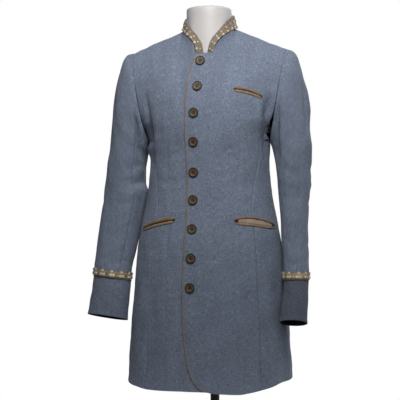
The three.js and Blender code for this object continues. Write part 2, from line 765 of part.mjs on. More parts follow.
function formGeometry() {
  const bottom = (FORM_BOTTOM_Z - HEM_Z) / (UNDERARM_Z - HEM_Z);
  const levels = [bottom, 0.25, 0.36, 0.47, 0.58, 0.67, 0.75, 0.84, 0.92, 1];
  const high = [1.1, 1.2, 1.3, 1.42, 1.54, 1.66, 1.78, 1.87, 1.94, 2];
  const quarter = [0, 0.13, 0.26, NECK_SHARE, 0.5, 0.62, 0.74, 0.87, 1].map((c) => 90 * c);
  const front = [...quarter.slice(1).reverse().map((t) => -t), ...quarter];
  const back = [...quarter.slice().reverse().map((t) => 180 - t), ...quarter.slice(1).map((t) => 180 + t)];
  back[0] = 90.001;
  back[back.length - 1] = 269.999;
  const all = [...levels, ...high];
  const frontGrid = all.map((level) => front.map((turn) => formPoint(turn, level)));
  const backGrid = all.map((level) => back.map((turn) => formPoint(turn, level)));
  frontGrid.forEach((row, i) => {
    if (all[i] > 1 && all[i] < 2) return;
    backGrid[i][0] = row[row.length - 1];
    backGrid[i][back.length - 1] = row[0];
  });
  const last = all.length - 1;
  // Along the shoulder seam the two grids share their points.
  front.forEach((turn, j) => {
    if (Math.abs(turn) < 90 * NECK_SHARE - 0.01) return;
    const k = back.findIndex((t) => Math.abs(180 - turn - t) < 0.1);
    if (k >= 0) backGrid[last][k] = frontGrid[last][j];
  });
  const strip = (a, b) => gridTriangles([a, b], false);
  const column = (grid, j) => grid.map((row) => row[j]);
  const neckFront = frontGrid[last].filter((_, j) => Math.abs(front[j]) <= 90 * NECK_SHARE + 0.01);
  const neckBack = backGrid[last].filter(
    (_, j) => Math.abs(180 - back[j]) <= 90 * NECK_SHARE + 0.01,
  );
  const loop = [...neckFront, ...neckBack.slice(1)];
  const neckRing = (z) =>
    loop.map((p) => {
      const angle = Math.atan2(p.x, -(p.y - FORM_NECK.y));
      const { radius, y } = FORM_NECK;
      return vector(radius * Math.sin(angle), y - radius * Math.cos(angle), z(p));
    });
  const root = neckRing((p) => mix(p.z, FORM_NECK.from, 0.45));
  const top = neckRing(() => FORM_NECK.top);
  const bottomLoop = [...frontGrid[0], ...backGrid[0].slice(1)];
  const fan = (ring, centre, isTurned) =>
    ring.slice(1).map((p, i) => (isTurned ? [centre, p, ring[i]] : [centre, ring[i], p]));
  return closedGeometry([
    ...gridTriangles(frontGrid, false),
    ...gridTriangles(backGrid, false),
    ...strip(column(frontGrid, front.length - 1), column(backGrid, 0)).map(([a, b, c]) => [a, c, b]),
    ...strip(column(backGrid, back.length - 1), column(frontGrid, 0)).map(([a, b, c]) => [a, c, b]),
    ...gridTriangles([loop, root, top], false),
    ...fan(bottomLoop, vector(0, 0, FORM_BOTTOM_Z), true),
    ...fan(top, vector(0, FORM_NECK.y, FORM_NECK.top), false),
  ]);
}
addPiece(worn, "form_body", formGeometry(), shell);

const lathe = (profile, sides) =>
  closedFromLathe(
    new THREE.LatheGeometry(
      profile.map(([r, h]) => new THREE.Vector2(r, h)),
      sides,
    ).rotateX(Math.PI / 2),
  );
const poleTop = FORM_BOTTOM_Z - 0.3;
addPiece(
  stand,
  "stand_pole",
  lathe(
    [
      [0, FOOT.thick + 0.3],
      [POLE_RADIUS, FOOT.thick + 0.3],
      [POLE_RADIUS, poleTop - SOCKET.tall],
      [SOCKET.radius, poleTop - SOCKET.tall + 8],
      [SOCKET.radius, poleTop],
      [0, poleTop],
    ],
    24,
  ),
  steel,
);
addPiece(
  stand,
  "stand_foot",
  lathe(
    [
      [0, 0],
      [FOOT.radius, 0],
      [FOOT.radius, FOOT.thick - 5],
      [FOOT.radius - 6, FOOT.thick],
      [0, FOOT.thick],
    ],
    48,
  ),
  steel,
);

export default whole;
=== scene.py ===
# %% [markdown]
# # A stand collar coat on a dress form
# The real coat is slubbed wool, cut in panels and pressed over a lining. It hangs from the
# shoulders of a white torso form. Cloth this firm keeps its tailored shape, so each panel is a thin
# shell over the shape of its cut, and its creases are placed one by one. A cloth simulation would
# give softer folds, but not these ones.

# %% Load the frame
import math

import bpy
import numpy as np
from mathutils import Matrix, Vector


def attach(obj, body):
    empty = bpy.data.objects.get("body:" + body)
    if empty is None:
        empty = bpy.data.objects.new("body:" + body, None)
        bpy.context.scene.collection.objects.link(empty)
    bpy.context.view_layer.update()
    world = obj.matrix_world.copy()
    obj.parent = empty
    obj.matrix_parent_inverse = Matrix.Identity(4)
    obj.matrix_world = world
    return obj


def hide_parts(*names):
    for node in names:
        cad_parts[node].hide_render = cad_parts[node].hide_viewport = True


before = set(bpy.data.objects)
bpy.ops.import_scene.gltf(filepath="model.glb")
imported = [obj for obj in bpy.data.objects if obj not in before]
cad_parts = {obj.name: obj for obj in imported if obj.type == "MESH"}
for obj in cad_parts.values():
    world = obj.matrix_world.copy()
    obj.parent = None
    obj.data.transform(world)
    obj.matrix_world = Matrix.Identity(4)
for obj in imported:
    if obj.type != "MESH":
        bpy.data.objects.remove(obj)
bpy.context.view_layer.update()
MM = 0.001
ROOT = "root"
COAT_AT = np.array([-10.0, -16.0, 0.0])  # the coat's axis from the pole, in millimetres

# %% [markdown]
# ## Tables and curves
# The coat's shape is held in short tables, as a tailor holds it in measures. A smooth curve runs
# through each table's rows. Its slopes come from the neighbouring rows, so it never overshoots.

# %% A smooth curve through a table's rows


def curve(rows, value):
    """A table's other columns at these values of its first column."""
    rows = np.asarray(rows, float)
    at = rows[:, 0]
    wide = np.diff(at)[:, None]
    rise = np.diff(rows, axis=0) / wide
    before, after = rise[:-1], rise[1:]
    agree = before * after > 0
    middle = np.where(agree, 2 * before * after / np.where(agree, before + after, 1), 0)
    slope = np.vstack([rise[:1], middle, rise[-1:]])
    value = np.clip(value, at[0], at[-1])
    low = np.clip(np.searchsorted(at, value, side="right") - 1, 0, len(at) - 2)
    s = ((value - at[low]) / wide[low, 0])[..., None]
    s2, s3 = s * s, s**3
    here = (2 * s3 - 3 * s2 + 1) * rows[low] + (s3 - 2 * s2 + s) * wide[low] * slope[low]
    there = (3 * s2 - 2 * s3) * rows[low + 1] + (s3 - s2) * wide[low] * slope[low + 1]
    return (here + there)[..., 1:]


def mix(a, b, share):
    return a + (b - a) * share


def smooth(value):
    share = np.clip(value, 0, 1)
    return share * share * (3 - 2 * share)


def unit(v):
    return v / np.maximum(np.linalg.norm(v, axis=-1, keepdims=True), 1e-9)


# %% The body's measures, in millimetres
HEM_Z = 102
UNDERARM_Z = 693
TIP = np.array([188.0, -4.0, 911.0])
NECK_SIDE = np.array([66.0, -4.0, 964.5])
NECK_SHARE = 0.39  # of each half's width ends on the neckline, and the rest on the shoulder seam
ARMHOLE_FRONT, ARMHOLE_BACK = 62, 66
CHEST_ROUND, BLADE_ROUND = 3, 8
SECTION_POWER = 2.25  # 2 would be an ellipse, and more is squarer
HIGH_LEFT = 3  # the left shoulder sits this much above the level, and the right one below it
# height, half width, depth in front of the axis, depth behind it
BODY = [
    [102, 203, 146, 150],
    [140, 201, 144, 148],
    [190, 198, 142, 146],
    [240, 195.5, 140, 143],
    [300, 190, 138, 140],
    [355, 185.5, 135.5, 136],
    [405, 181, 133, 131],
    [455, 174, 129, 124],
    [500, 165, 124, 114],
    [550, 155.5, 119, 104],
    [600, 148.5, 116, 98],
    [650, 146, 117, 100],
    [693, 147, 121, 106],
]
# share of the way to the shoulder seam, x, y, height
NECK_FRONT = [
    [0, 0, -87, 899.5],
    [0.3, 22, -86, 901],
    [0.42, 28, -79, 921],
    [0.58, 38, -68, 936],
    [0.73, 49, -54, 948],
    [0.87, 60, -32, 958.5],
    [1, 66, -4, 964.5],
]
NECK_BACK = [[0, 0, 57, 976], [0.5, 36, 49, 974], [0.8, 60, 28, 970], [1, 66, -4, 964.5]]

# %% The coat's outer surface


def ring(turn, z):
    """A section's points. turn is 0 in front and 90 at the wearer's left, in degrees."""
    side, front, back = np.moveaxis(curve(BODY, z), -1, 0)
    forward, across = np.cos(np.radians(turn)), np.sin(np.radians(turn))
    deep = np.where(forward > 0, front, back)
    reach = (np.abs(forward) / deep) ** SECTION_POWER + (np.abs(across) / side) ** SECTION_POWER
    radius = reach ** (-1 / SECTION_POWER)
    return np.stack([radius * across, -radius * forward, z + 0 * turn], -1)


def panel_top(column, table):
    """Where a column of the front or back ends, on the neckline or the shoulder seam."""
    neck = curve(table, column / NECK_SHARE)
    share = ((column - NECK_SHARE) / (1 - NECK_SHARE))[..., None]
    return np.where((column < NECK_SHARE)[..., None], neck, mix(NECK_SIDE, TIP, share))


def soft_top(column, table, up):
    """The panel's top edge, whose corner at the neck is smoothed out further down."""
    edge = panel_top(column, table)
    steps = (-0.24, -0.16, -0.08, 0.08, 0.16, 0.24)
    near = [panel_top(np.minimum(np.abs(column + d), 1), table) for d in steps]
    even = (sum(near) + edge) / 7
    even[..., 0] = edge[..., 0]
    near_corner = smooth((column - 0.14) / 0.2) * (1 - smooth((column - 0.6) / 0.3))
    share = (1 - up**24) * near_corner
    return mix(edge, even, share[..., None])


def body(turn, level):
    """Points of the coat. level is 0 at the hem, 1 at the underarm and 2 at the top."""
    turn, level = np.broadcast_arrays(np.asarray(turn, float), np.asarray(level, float))
    wrapped = np.where(turn > 180, turn - 360, turn)
    side = np.where(wrapped < 0, -1.0, 1.0)
    across = np.abs(wrapped)
    front = across <= 90
    column = np.where(front, across, 180 - across) / 90
    lift = np.clip(level - 1, 0, 1) * math.pi
    up = (1 - np.cos(lift)) / 2
    underarm = np.full(across.shape, float(UNDERARM_Z))
    low = ring(across, underarm)
    slope = (low[..., 1] - ring(across, underarm - 2)[..., 1]) / 2
    ahead, behind = soft_top(column, NECK_FRONT, up), soft_top(column, NECK_BACK, up)
    top = np.where(front[..., None], ahead, behind)
    on_shoulder = smooth((column - 0.06) / 0.64)
    rounded = 0.45 * up**3 + 0.55 * (1 - np.sqrt(np.maximum(0, 1 - up * up)))
    lean = mix(up**2.2, rounded, on_shoulder)
    arm_x = ring(np.array(90.0), np.array(float(UNDERARM_Z)))[0]
    armhole = mix(arm_x, TIP[0], up**0.8) - mix(arm_x, TIP[0], smooth(up))
    x = mix(low[..., 0], top[..., 0], smooth(up)) + column**4 * armhole
    outward = np.sin(lift) * mix(smooth(up / 0.2), 1, column**7)
    reach = np.where(front, -ARMHOLE_FRONT, ARMHOLE_BACK) * column**3 * outward
    round_out = np.where(front, -CHEST_ROUND, BLADE_ROUND) * np.sin(math.pi * up) ** 2
    height = mix(UNDERARM_Z, top[..., 2], up)
    carried_on = slope * (height - UNDERARM_Z) * (1 - up) ** 3
    y = mix(low[..., 1], top[..., 1], lean) + carried_on + reach + round_out * (1 - column**2)
    padding = np.where(side < 0, 3.5 * smooth((x - 90) / 45), 1.5 * smooth((x - 140) / 40))
    z = height + (HIGH_LEFT * side * x / TIP[0] + padding) * up
    upper = np.stack([side * x, y, z], -1)
    lower = ring(wrapped, mix(HEM_Z, UNDERARM_Z, np.clip(level, 0, 1)))
    return np.where((level <= 1)[..., None], lower, upper)


def turn_at(x, level):
    """The turn at which the front has this x."""
    level = np.asarray(level, float)
    low, high = np.full(level.shape, -90.0), np.full(level.shape, 90.0)
    for _ in range(32):
        middle = (low + high) / 2
        short = body(middle, level)[..., 0] < x
        low, high = np.where(short, middle, low), np.where(short, high, middle)
    return (low + high) / 2


def place_at(x, z):
    """The turn and level at which the front has this x and height, by Newton's steps."""
    x, z = np.asarray(x, float), np.asarray(z, float)
    turn = np.degrees(np.arcsin(np.clip(x / 200, -0.9, 0.9)))
    rise = np.clip((z - UNDERARM_Z) / 240, 0, 0.98)
    level = np.where(z < UNDERARM_Z, (z - HEM_Z) / (UNDERARM_Z - HEM_Z), 1)
    level = level + np.arccos(1 - 2 * rise) / math.pi
    small = 1e-4
    for _ in range(14):
        here = body(turn, level)
        by_turn = (body(turn + small, level) - here) / small
        by_level = (body(turn, level + small) - here) / small
        dx, dz = x - here[..., 0], z - here[..., 2]
        det = by_turn[..., 0] * by_level[..., 2] - by_level[..., 0] * by_turn[..., 2]
        turn = turn + np.clip((dx * by_level[..., 2] - dz * by_level[..., 0]) / det, -15, 15)
        step = (dz * by_turn[..., 0] - dx * by_turn[..., 2]) / det
        level = np.clip(level + np.clip(step, -0.1, 0.1), 0, 1.999)
    return turn, level


def column_of(turn):
    """0 at the centre front and back, and 1 at the side."""
    across = np.abs(np.where(turn > 180, turn - 360, turn))
    return np.where(across <= 90, across, 180 - across) / 90


def upright_at_shoulder(n, turn, level):
    """Normals that stand upright along the shoulder seam."""
    seam = smooth((level - 1.8) / 0.2) * smooth((column_of(turn) - NECK_SHARE + 0.08) / 0.08)
    return unit(mix(n, np.array([0, 0, 1.0]), seam[..., None]))


def grid_normals(p):
    """Unit normals of a grid of points, on the side that the rows and columns turn to."""
    return unit(np.cross(np.gradient(p, axis=1), np.gradient(p, axis=0)))


print("underarm half width", round(float(body(90.0, 1.0)[0]), 1), "mm")

# %% [markdown]
# ## Creases
# Pressed wool still drags from the armholes, breaks at the elbows and flutes at the hem. Each
# crease is a line on the coat with a width and a depth. Seen from in front or behind it is given by
# x and height, and seen from a side by y and height. The sides that nobody sees first get folds of
# the same kinds, placed unevenly.

# %% A crease's height on the cloth


def crease(p, n, view, path, width, depth):
    """How far one crease moves the cloth out at these points."""
    axis, toward = {"front": (0, -n[..., 1]), "back": (0, n[..., 1])}.get(
        view, (1, n[..., 0] if view == "left" else -n[..., 0])
    )
    a, z = p[..., axis], p[..., 2]
    nearest = np.full(a.shape, 1e9)
    along = np.zeros(a.shape)
    path = np.asarray(path, float)
    lengths = np.linalg.norm(np.diff(path, axis=0), axis=1)
    start = 0.0
    for (a0, z0), (a1, z1), length in zip(path[:-1], path[1:], lengths):
        t = np.clip(((a - a0) * (a1 - a0) + (z - z0) * (z1 - z0)) / length**2, 0, 1)
        away = np.hypot(a - mix(a0, a1, t), z - mix(z0, z1, t))
        closer = away < nearest
        along = np.where(closer, start + t * length, along)
        nearest = np.where(closer, away, nearest)
        start += length
    share = along / start
    ends = smooth(share / 0.3) * smooth((1 - share) / 0.3)
    return depth * np.exp(-((nearest / width) ** 2)) * ends * smooth((toward + 0.05) / 0.4)


def ripple(p, seed):
    """The slow unevenness of cloth that was pressed by hand."""
    rng = np.random.default_rng(seed)
    total = 0
    for size in (95, 62, 41, 27):
        wave = rng.normal(size=3) / size
        wave[2] *= 0.6
        total = total + 0.006 * size * np.sin(2 * math.pi * (p @ wave) + rng.uniform(0, 6.28))
    return total


# %% The body's creases: view, path, width, depth
BODY_CREASES = [
    # the drag from the armhole to the underarm, wearer's right
    ("front", [(-150, 826), (-140, 762), (-136, 700), (-137, 604)], 6.5, -7.5),
    ("front", [(-140, 760), (-132, 705), (-132, 650), (-136, 590)], 7, -4.0),
    ("front", [(-124, 826), (-117, 745), (-116, 650)], 10, 2.8),
    # the hollow beside the armhole, wearer's left
    ("front", [(156, 812), (151, 765), (148, 725), (147, 685), (147, 630)], 11, -12.0),
    ("front", [(122, 806), (131, 765), (137, 730), (139, 680)], 8, 2.6),
    ("front", [(88, 800), (104, 735), (118, 660)], 13, 2.2),
    # the waist
    ("front", [(-128, 616), (-92, 590), (-52, 596)], 9, -0.9),
    ("front", [(130, 604), (92, 580), (58, 586)], 9, -0.9),
    ("front", [(130, 562), (96, 545), (66, 552)], 9, -0.6),
    # pulls at the buttons
    ("front", [(4, 612), (38, 606), (66, 612)], 6, -0.8),
    ("front", [(4, 550), (34, 546), (58, 553)], 6, -0.8),
    ("front", [(0, 482), (34, 480), (60, 488)], 6, -0.7),
    ("front", [(-2, 413), (26, 409), (48, 414)], 6, -0.6),
    ("front", [(-46, 340), (-70, 330), (-92, 336)], 6, -0.8),
    # the skirt's flutes run out over the hem
    ("front", [(-150, 380), (-157, 240), (-166, 20)], 16, 3.2),
    ("front", [(-118, 400), (-124, 240), (-130, 20)], 14, -2.8),
    ("front", [(-74, 330), (-77, 200), (-80, 20)], 15, 1.8),
    ("front", [(-48, 300), (-52, 200), (-54, 20)], 10, -1.4),
    ("front", [(34, 360), (40, 220), (44, 20)], 18, -2.0),
    ("front", [(72, 330), (80, 200), (84, 20)], 16, 2.0),
    ("front", [(112, 400), (122, 240), (128, 20)], 14, -2.6),
    ("front", [(146, 420), (160, 260), (170, 20)], 13, 3.0),
    ("front", [(178, 330), (186, 220), (190, 20)], 9, -2.6),
    ("left", [(20, 470), (26, 300), (30, 20)], 20, -3.0),
    ("left", [(-36, 440), (-40, 280), (-46, 20)], 16, 2.4),
    ("left", [(78, 420), (86, 260), (92, 20)], 17, 3.0),
    ("right", [(-78, 682), (-14, 671), (58, 680)], 13, 6.0),
    ("right", [(-30, 450), (-34, 300), (-40, 20)], 18, -2.8),
    ("right", [(26, 430), (34, 280), (38, 20)], 20, 3.2),
    ("right", [(84, 400), (88, 250), (96, 20)], 14, -2.4),
    # the back: blades, waist and skirt
    ("back", [(-128, 800), (-116, 730), (-120, 640)], 10, -3.6),
    ("back", [(124, 806), (115, 728), (122, 650)], 9, -4.0),
    ("back", [(-98, 780), (-92, 700), (-84, 620)], 13, 2.2),
    ("back", [(90, 770), (96, 690), (88, 600)], 12, 2.0),
    ("back", [(-110, 600), (-60, 575), (-16, 584)], 10, -1.8),
    ("back", [(14, 590), (58, 568), (106, 582)], 10, -2.0),
    ("back", [(-96, 545), (-50, 528), (-12, 540)], 9, -1.3),
    ("back", [(20, 540), (66, 530), (104, 548)], 8, -1.1),
    ("back", [(-52, 952), (-30, 940), (0, 944), (34, 938), (56, 950)], 7, -1.6),
    ("back", [(-120, 400), (-130, 240), (-138, 20)], 17, 3.2),
    ("back", [(-70, 380), (-78, 230), (-82, 20)], 15, -3.0),
    ("back", [(-32, 340), (-34, 220), (-38, 20)], 14, 2.2),
    ("back", [(28, 350), (36, 230), (40, 20)], 15, 2.6),
    ("back", [(74, 400), (84, 240), (92, 20)], 14, -3.0),
    ("back", [(126, 410), (134, 250), (144, 20)], 16, 2.8),
]
# each sleeve's creases, with x counted outwards on either arm
SLEEVE_CREASES = {
    "right": [
        ("front", [(178, 770), (171, 735), (169, 690), (166, 656), (158, 640)], 4.0, -12.0),
        ("front", [(167, 760), (161, 725), (159, 684), (155, 652)], 4.5, 4.6),
        ("front", [(188, 800), (181, 736), (180, 650)], 8, 2.6),
        ("front", [(190, 770), (184, 700), (188, 650)], 8, -1.6),
        ("front", [(148, 640), (182, 612), (220, 606)], 9, 1.8),
        ("front", [(140, 626), (166, 596), (190, 578)], 8, -3.0),
        ("front", [(156, 584), (188, 566), (226, 570)], 9, 1.4),
        ("front", [(160, 556), (196, 540), (232, 548)], 9, -1.4),
        ("front", [(184, 600), (194, 520), (208, 430)], 13, 3.4),
        ("front", [(158, 596), (166, 520), (178, 440)], 8, -2.6),
        ("front", [(236, 600), (248, 560), (252, 520)], 9, -1.4),
        ("front", [(178, 500), (214, 470), (246, 452)], 10, -1.6),
        ("front", [(196, 452), (232, 424), (262, 418)], 9, 1.5),
        ("front", [(190, 408), (214, 396), (240, 400)], 6, -1.5),
        ("front", [(204, 850), (214, 800), (220, 740)], 14, 1.4),
        ("right", [(-50, 812), (-30, 770), (-24, 720)], 10, -1.4),
        ("right", [(50, 640), (14, 612), (-20, 618)], 10, -2.4),
        ("right", [(56, 600), (20, 574), (-12, 580)], 9, 2.0),
        ("right", [(52, 560), (18, 540), (-22, 548)], 9, -2.0),
        ("back", [(160, 800), (152, 740), (158, 690)], 7, -4.0),
        ("back", [(170, 640), (204, 606), (240, 600)], 9, -2.8),
        ("back", [(172, 596), (206, 572), (244, 574)], 8, 2.2),
        ("back", [(180, 520), (216, 500), (250, 506)], 9, -1.6),
        ("back", [(196, 430), (228, 408), (262, 412)], 8, -1.4),
    ],
    "left": [
        ("front", [(174, 806), (167, 745), (164, 690), (167, 620)], 8.5, -12.5),
        ("front", [(186, 800), (178, 730), (175, 650)], 8, 2.4),
        ("front", [(214, 850), (222, 790), (226, 720)], 13, -1.6),
        ("front", [(228, 856), (236, 798), (239, 745), (239, 680)], 4, -4.2),
        ("left", [(-10, 850), (4, 790), (8, 730)], 16, 2.6),
        ("front", [(166, 640), (198, 618), (230, 622)], 10, -1.4),
        ("front", [(168, 606), (200, 590), (232, 598)], 10, 1.1),
        ("front", [(172, 566), (204, 552), (236, 560)], 10, -1.2),
        ("front", [(176, 520), (204, 500), (232, 504)], 10, 1.4),
        ("front", [(182, 470), (208, 440), (236, 430)], 9, -1.5),
        ("front", [(190, 408), (212, 398), (234, 404)], 6, -1.3),
        ("left", [(-46, 806), (-26, 764), (-20, 716)], 10, -1.3),
        ("left", [(52, 650), (16, 622), (-24, 626)], 10, -2.2),
        ("left", [(56, 606), (16, 584), (-16, 590)], 9, 1.9),
        ("left", [(48, 560), (12, 540), (-26, 552)], 9, -1.9),
        ("left", [(20, 470), (-14, 440), (-52, 446)], 10, -1.3),
        ("back", [(162, 800), (154, 740), (158, 690)], 7, -4.2),
        ("back", [(168, 650), (200, 620), (232, 612)], 9, -2.6),
        ("back", [(170, 600), (202, 580), (234, 584)], 8, 2.1),
        ("back", [(178, 510), (206, 494), (234, 500)], 9, -1.5),
    ],
}
print(len(BODY_CREASES), "creases on the body")

# %% [markdown]
# ## Shells
# A panel is a grid of points. Its outer face is on them, its inner face lies a cloth's thickness
# below, and a rim closes the edges. Two centimetres of cloth are only ten columns of the grid, so
# the columns gather at the seams, where the cloth dips into the stitching over a millimetre or two.

# %% Grid spacing


def spread(length, cell, anchors=()):
    """Places from 0 to length about a cell apart, with more of them at the ends and anchors."""
    places = set(np.linspace(0, length, max(2, round(length / cell)) + 1))
    for at in (0, length, *anchors):
        near = [at + d for d in (-4.4, -2.8, -1.5, -0.6, 0, 0.6, 1.5, 2.8, 4.4)]
        places = {s for s in places if abs(s - at) > 5.5} | {s for s in near if 0 <= s <= length}
    return np.array(sorted(places)) / length


def arcs(p, axis):
    """How far along its row or column each point of a grid lies."""
    steps = np.linalg.norm(np.diff(p, axis=axis), axis=-1)
    first = np.zeros_like(np.take(steps, [0], axis))
    return np.concatenate([first, np.cumsum(steps, axis)], axis)


def dip(away, depth=0.9, width=1.7):
    """How far the cloth sinks at this distance from a line of stitching."""
    return -depth * np.exp(-((away / width) ** 2))


# %% A shell from a grid


def shell(name, p, n, thick, cloths, uv_from=0, round_edge=0.45):
    """A closed sheet. cloths are the materials of its outer and inner face."""
    rows, cols = p.shape[:2]
    outer = p.copy()
    for edge in (np.s_[0, :], np.s_[-1, :], np.s_[:, 0], np.s_[:, -1]):
        outer[edge] = p[edge] - round_edge * n[edge]
    inner = p - thick * n
    across = arcs(p, 1)
    across = (across - across[:, [uv_from]]) * MM
    uv = np.stack([across, arcs(p, 0) * MM], -1).reshape(-1, 2)
    index = np.arange(rows * cols).reshape(rows, cols)
    quads = np.stack(
        [index[:-1, :-1], index[:-1, 1:], index[1:, 1:], index[1:, :-1]], -1
    ).reshape(-1, 4)
    facing = np.sum(np.cross(np.gradient(p, axis=1), np.gradient(p, axis=0)) * n)
    if facing < 0:
        quads = quads[:, ::-1]
    border = np.concatenate([index[0, :-1], index[:-1, -1], index[-1, :0:-1], index[:0:-1, 0]])
    after = np.roll(border, -1)
    shift = rows * cols
    rim = np.stack([after, border, border + shift, after + shift], -1)
    if facing < 0:
        rim = rim[:, ::-1]
    faces = np.concatenate([quads, quads[:, ::-1] + shift, rim])
    points = np.concatenate([outer.reshape(-1, 3), inner.reshape(-1, 3)])
    mesh = bpy.data.meshes.new(name)
    mesh.from_pydata(((points + COAT_AT) * MM).tolist(), [], faces.tolist())
    for material in cloths:
        mesh.materials.append(material)
    if len(cloths) > 1:
        slots = np.zeros(len(faces), int)
        slots[len(quads) : 2 * len(quads)] = 1
        mesh.polygons.foreach_set("material_index", slots)
    layer = mesh.uv_layers.new(name="cloth")
    corners = np.concatenate([uv, uv])[faces.reshape(-1)]
    layer.data.foreach_set("uv", corners.reshape(-1))
    mesh.update()
    obj = bpy.data.objects.new(name, mesh)
    bpy.context.scene.collection.objects.link(obj)
    by_angle(obj, 50)
    return obj


def deselect():
    """A new primitive is selected all over, so everything else is let go first."""
    for other in bpy.context.selected_objects:
        other.select_set(False)


def alone(obj):
    """Only this object is selected and active."""
    deselect()
    obj.select_set(True)
    bpy.context.view_layer.objects.active = obj


def by_angle(obj, degrees):
    alone(obj)
    bpy.ops.object.shade_smooth_by_angle(angle=math.radians(degrees))


def flat_size(p):
    """A grid's widest row, longest column and area, in metres and square metres."""
    a = np.cross(p[1:, 1:] - p[:-1, :-1], p[1:, :-1] - p[:-1, 1:])
    area = float(np.linalg.norm(a, axis=-1).sum() / 2) * MM * MM
    return (float(arcs(p, 1).max()) * MM, float(arcs(p, 0).max()) * MM), area


cut_list = []


def cloth_piece(obj, p, nodes):
    """Hangs this sheet on the root, hides the parts that it replaces and lists how large it was cut."""
    flat, area = flat_size(p)
    flat = (round(flat[0] + 0.0005, 3), round(flat[1] + 0.0005, 3))
    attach(obj, ROOT)
    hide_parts(*nodes)
    cut_list.append((obj.name, *flat, round(area, 4)))
    print(f"{obj.name}: {flat[0]:.3f} x {flat[1]:.3f} m, {area:.4f} m2")


# %% [markdown]
# ## Materials
# Every cloth's pattern follows its own UV map, which is in metres along the threads. So the slubs
# run with the warp and the weft of each panel, and turn with a sleeve.

# %% Colours and nodes


def colour(text):
    """An sRGB hex colour as linear red, green, blue and alpha."""
    channels = [int(text[i : i + 2], 16) / 255 for i in (1, 3, 5)]
    return [c / 12.92 if c <= 0.04045 else ((c + 0.055) / 1.055) ** 2.4 for c in channels] + [1]


def put(tree, kind, settings=()):
    """Adds a node. Its settings are by name, or by number for an input that has no name of its own,
    and a setting that is another node's output is linked."""
    node = tree.nodes.new(kind)
    for key, value in dict(settings).items():
        if isinstance(value, bpy.types.NodeSocket):
            tree.links.new(value, node.inputs[key])
        elif isinstance(key, int) or key in node.inputs:
            node.inputs[key].default_value = value
        else:
            setattr(node, key, value)
    return node


def new_material(name, roughness, **sockets):
    """A material and its tree, with the shader's plain sockets set."""
    material = bpy.data.materials.new(name)
    material.use_nodes = True
    shader = material.node_tree.nodes["Principled BSDF"]
    shader.inputs["Roughness"].default_value = roughness
    for key, value in sockets.items():
        shader.inputs[key.replace("_", " ")].default_value = value
    return material, material.node_tree, shader


# %% Patterns that several finishes share


def grain(tree, vector, size, stretch=(1, 1, 1), detail=2.0):
    """Uneven spots about size metres across, stretched along each axis."""
    scale = [1 / (size * s) for s in stretch]
    mapped = put(tree, "ShaderNodeMapping", {"Vector": vector, "Scale": scale}).outputs[0]
    settings = {"Vector": mapped, "Scale": 1.0, "Detail": detail, "Roughness": 0.6}
    return put(tree, "ShaderNodeTexNoise", settings).outputs["Fac"]


def ridges(tree, along, apart):
    """Ridges this many metres apart, which rise and fall from -1 to 1."""
    turned = put(tree, "ShaderNodeMath", {"operation": "MULTIPLY", 0: along, 1: 2 * math.pi / apart})
    return put(tree, "ShaderNodeMath", {"operation": "SINE", 0: turned.outputs[0]}).outputs[0]


def off_middle(tree, along, pitch, shift):
    """How far each place is from the middle of its repeat, as a share of the repeat."""
    turns = {"operation": "MULTIPLY_ADD", 0: along, 1: 1 / pitch, 2: shift}
    turned = put(tree, "ShaderNodeMath", turns).outputs[0]
    share = put(tree, "ShaderNodeMath", {"operation": "FRACT", 0: turned}).outputs[0]
    beside = put(tree, "ShaderNodeMath", {"operation": "SUBTRACT", 0: share, 1: 0.5}).outputs[0]
    return put(tree, "ShaderNodeMath", {"operation": "ABSOLUTE", 0: beside}).outputs[0]


def layered(tree, tone, layers):
    """A tone with others laid over it. A layer is a pattern, the value where it starts to show, the
    value where it shows most, how much that is, and its own tone."""
    for pattern, start, full, most, over in layers:
        limits = {"Value": pattern, "From Min": start, "From Max": full, "To Max": most}
        share = put(tree, "ShaderNodeMapRange", limits).outputs[0]
        tone = put(tree, "ShaderNodeMix", {"data_type": "RGBA", 0: share, 6: tone, 7: over}).outputs[2]
    return tone


def finish(tree, shader, tone, height, depth, strength):
    """Gives the shader its colour, and a relief this many metres deep."""
    tree.links.new(tone, shader.inputs["Base Color"])
    settings = {"Height": height, "Distance": depth, "Strength": strength}
    tree.links.new(put(tree, "ShaderNodeBump", settings).outputs[0], shader.inputs["Normal"])


# %% [markdown]
# ### Slubbed wool
# The cloth is a plain weave of uneven woollen yarn. A thick place in a thread shows as a short pale
# or dark dash, about two millimetres wide and a centimetre long. A faint windowpane of lighter
# threads crosses it every 38 mm. The real yarn is 0.6 mm across, too fine to show, so the weave's
# relief is drawn at 1.8 mm.

# %% Wool
WOOL_TONES = [colour("#7c879c"), colour("#a8b3c1"), colour("#465166")]
SLUB_WIDE, SLUB_LONG, PANE, YARN = 0.0023, 0.010, 0.038, 0.0018
FLECK, CLOUD = 0.0026, 0.055  # the size of a tuft of wool and of a patch that took the dye deeper


def pane_line(tree, along, shift):
    """1 on a thread of the windowpane, 0 off it."""
    away = off_middle(tree, along, PANE, shift)
    limits = {"Value": away, "From Min": 0.035, "From Max": 0.01}
    return put(tree, "ShaderNodeMapRange", limits).outputs[0]


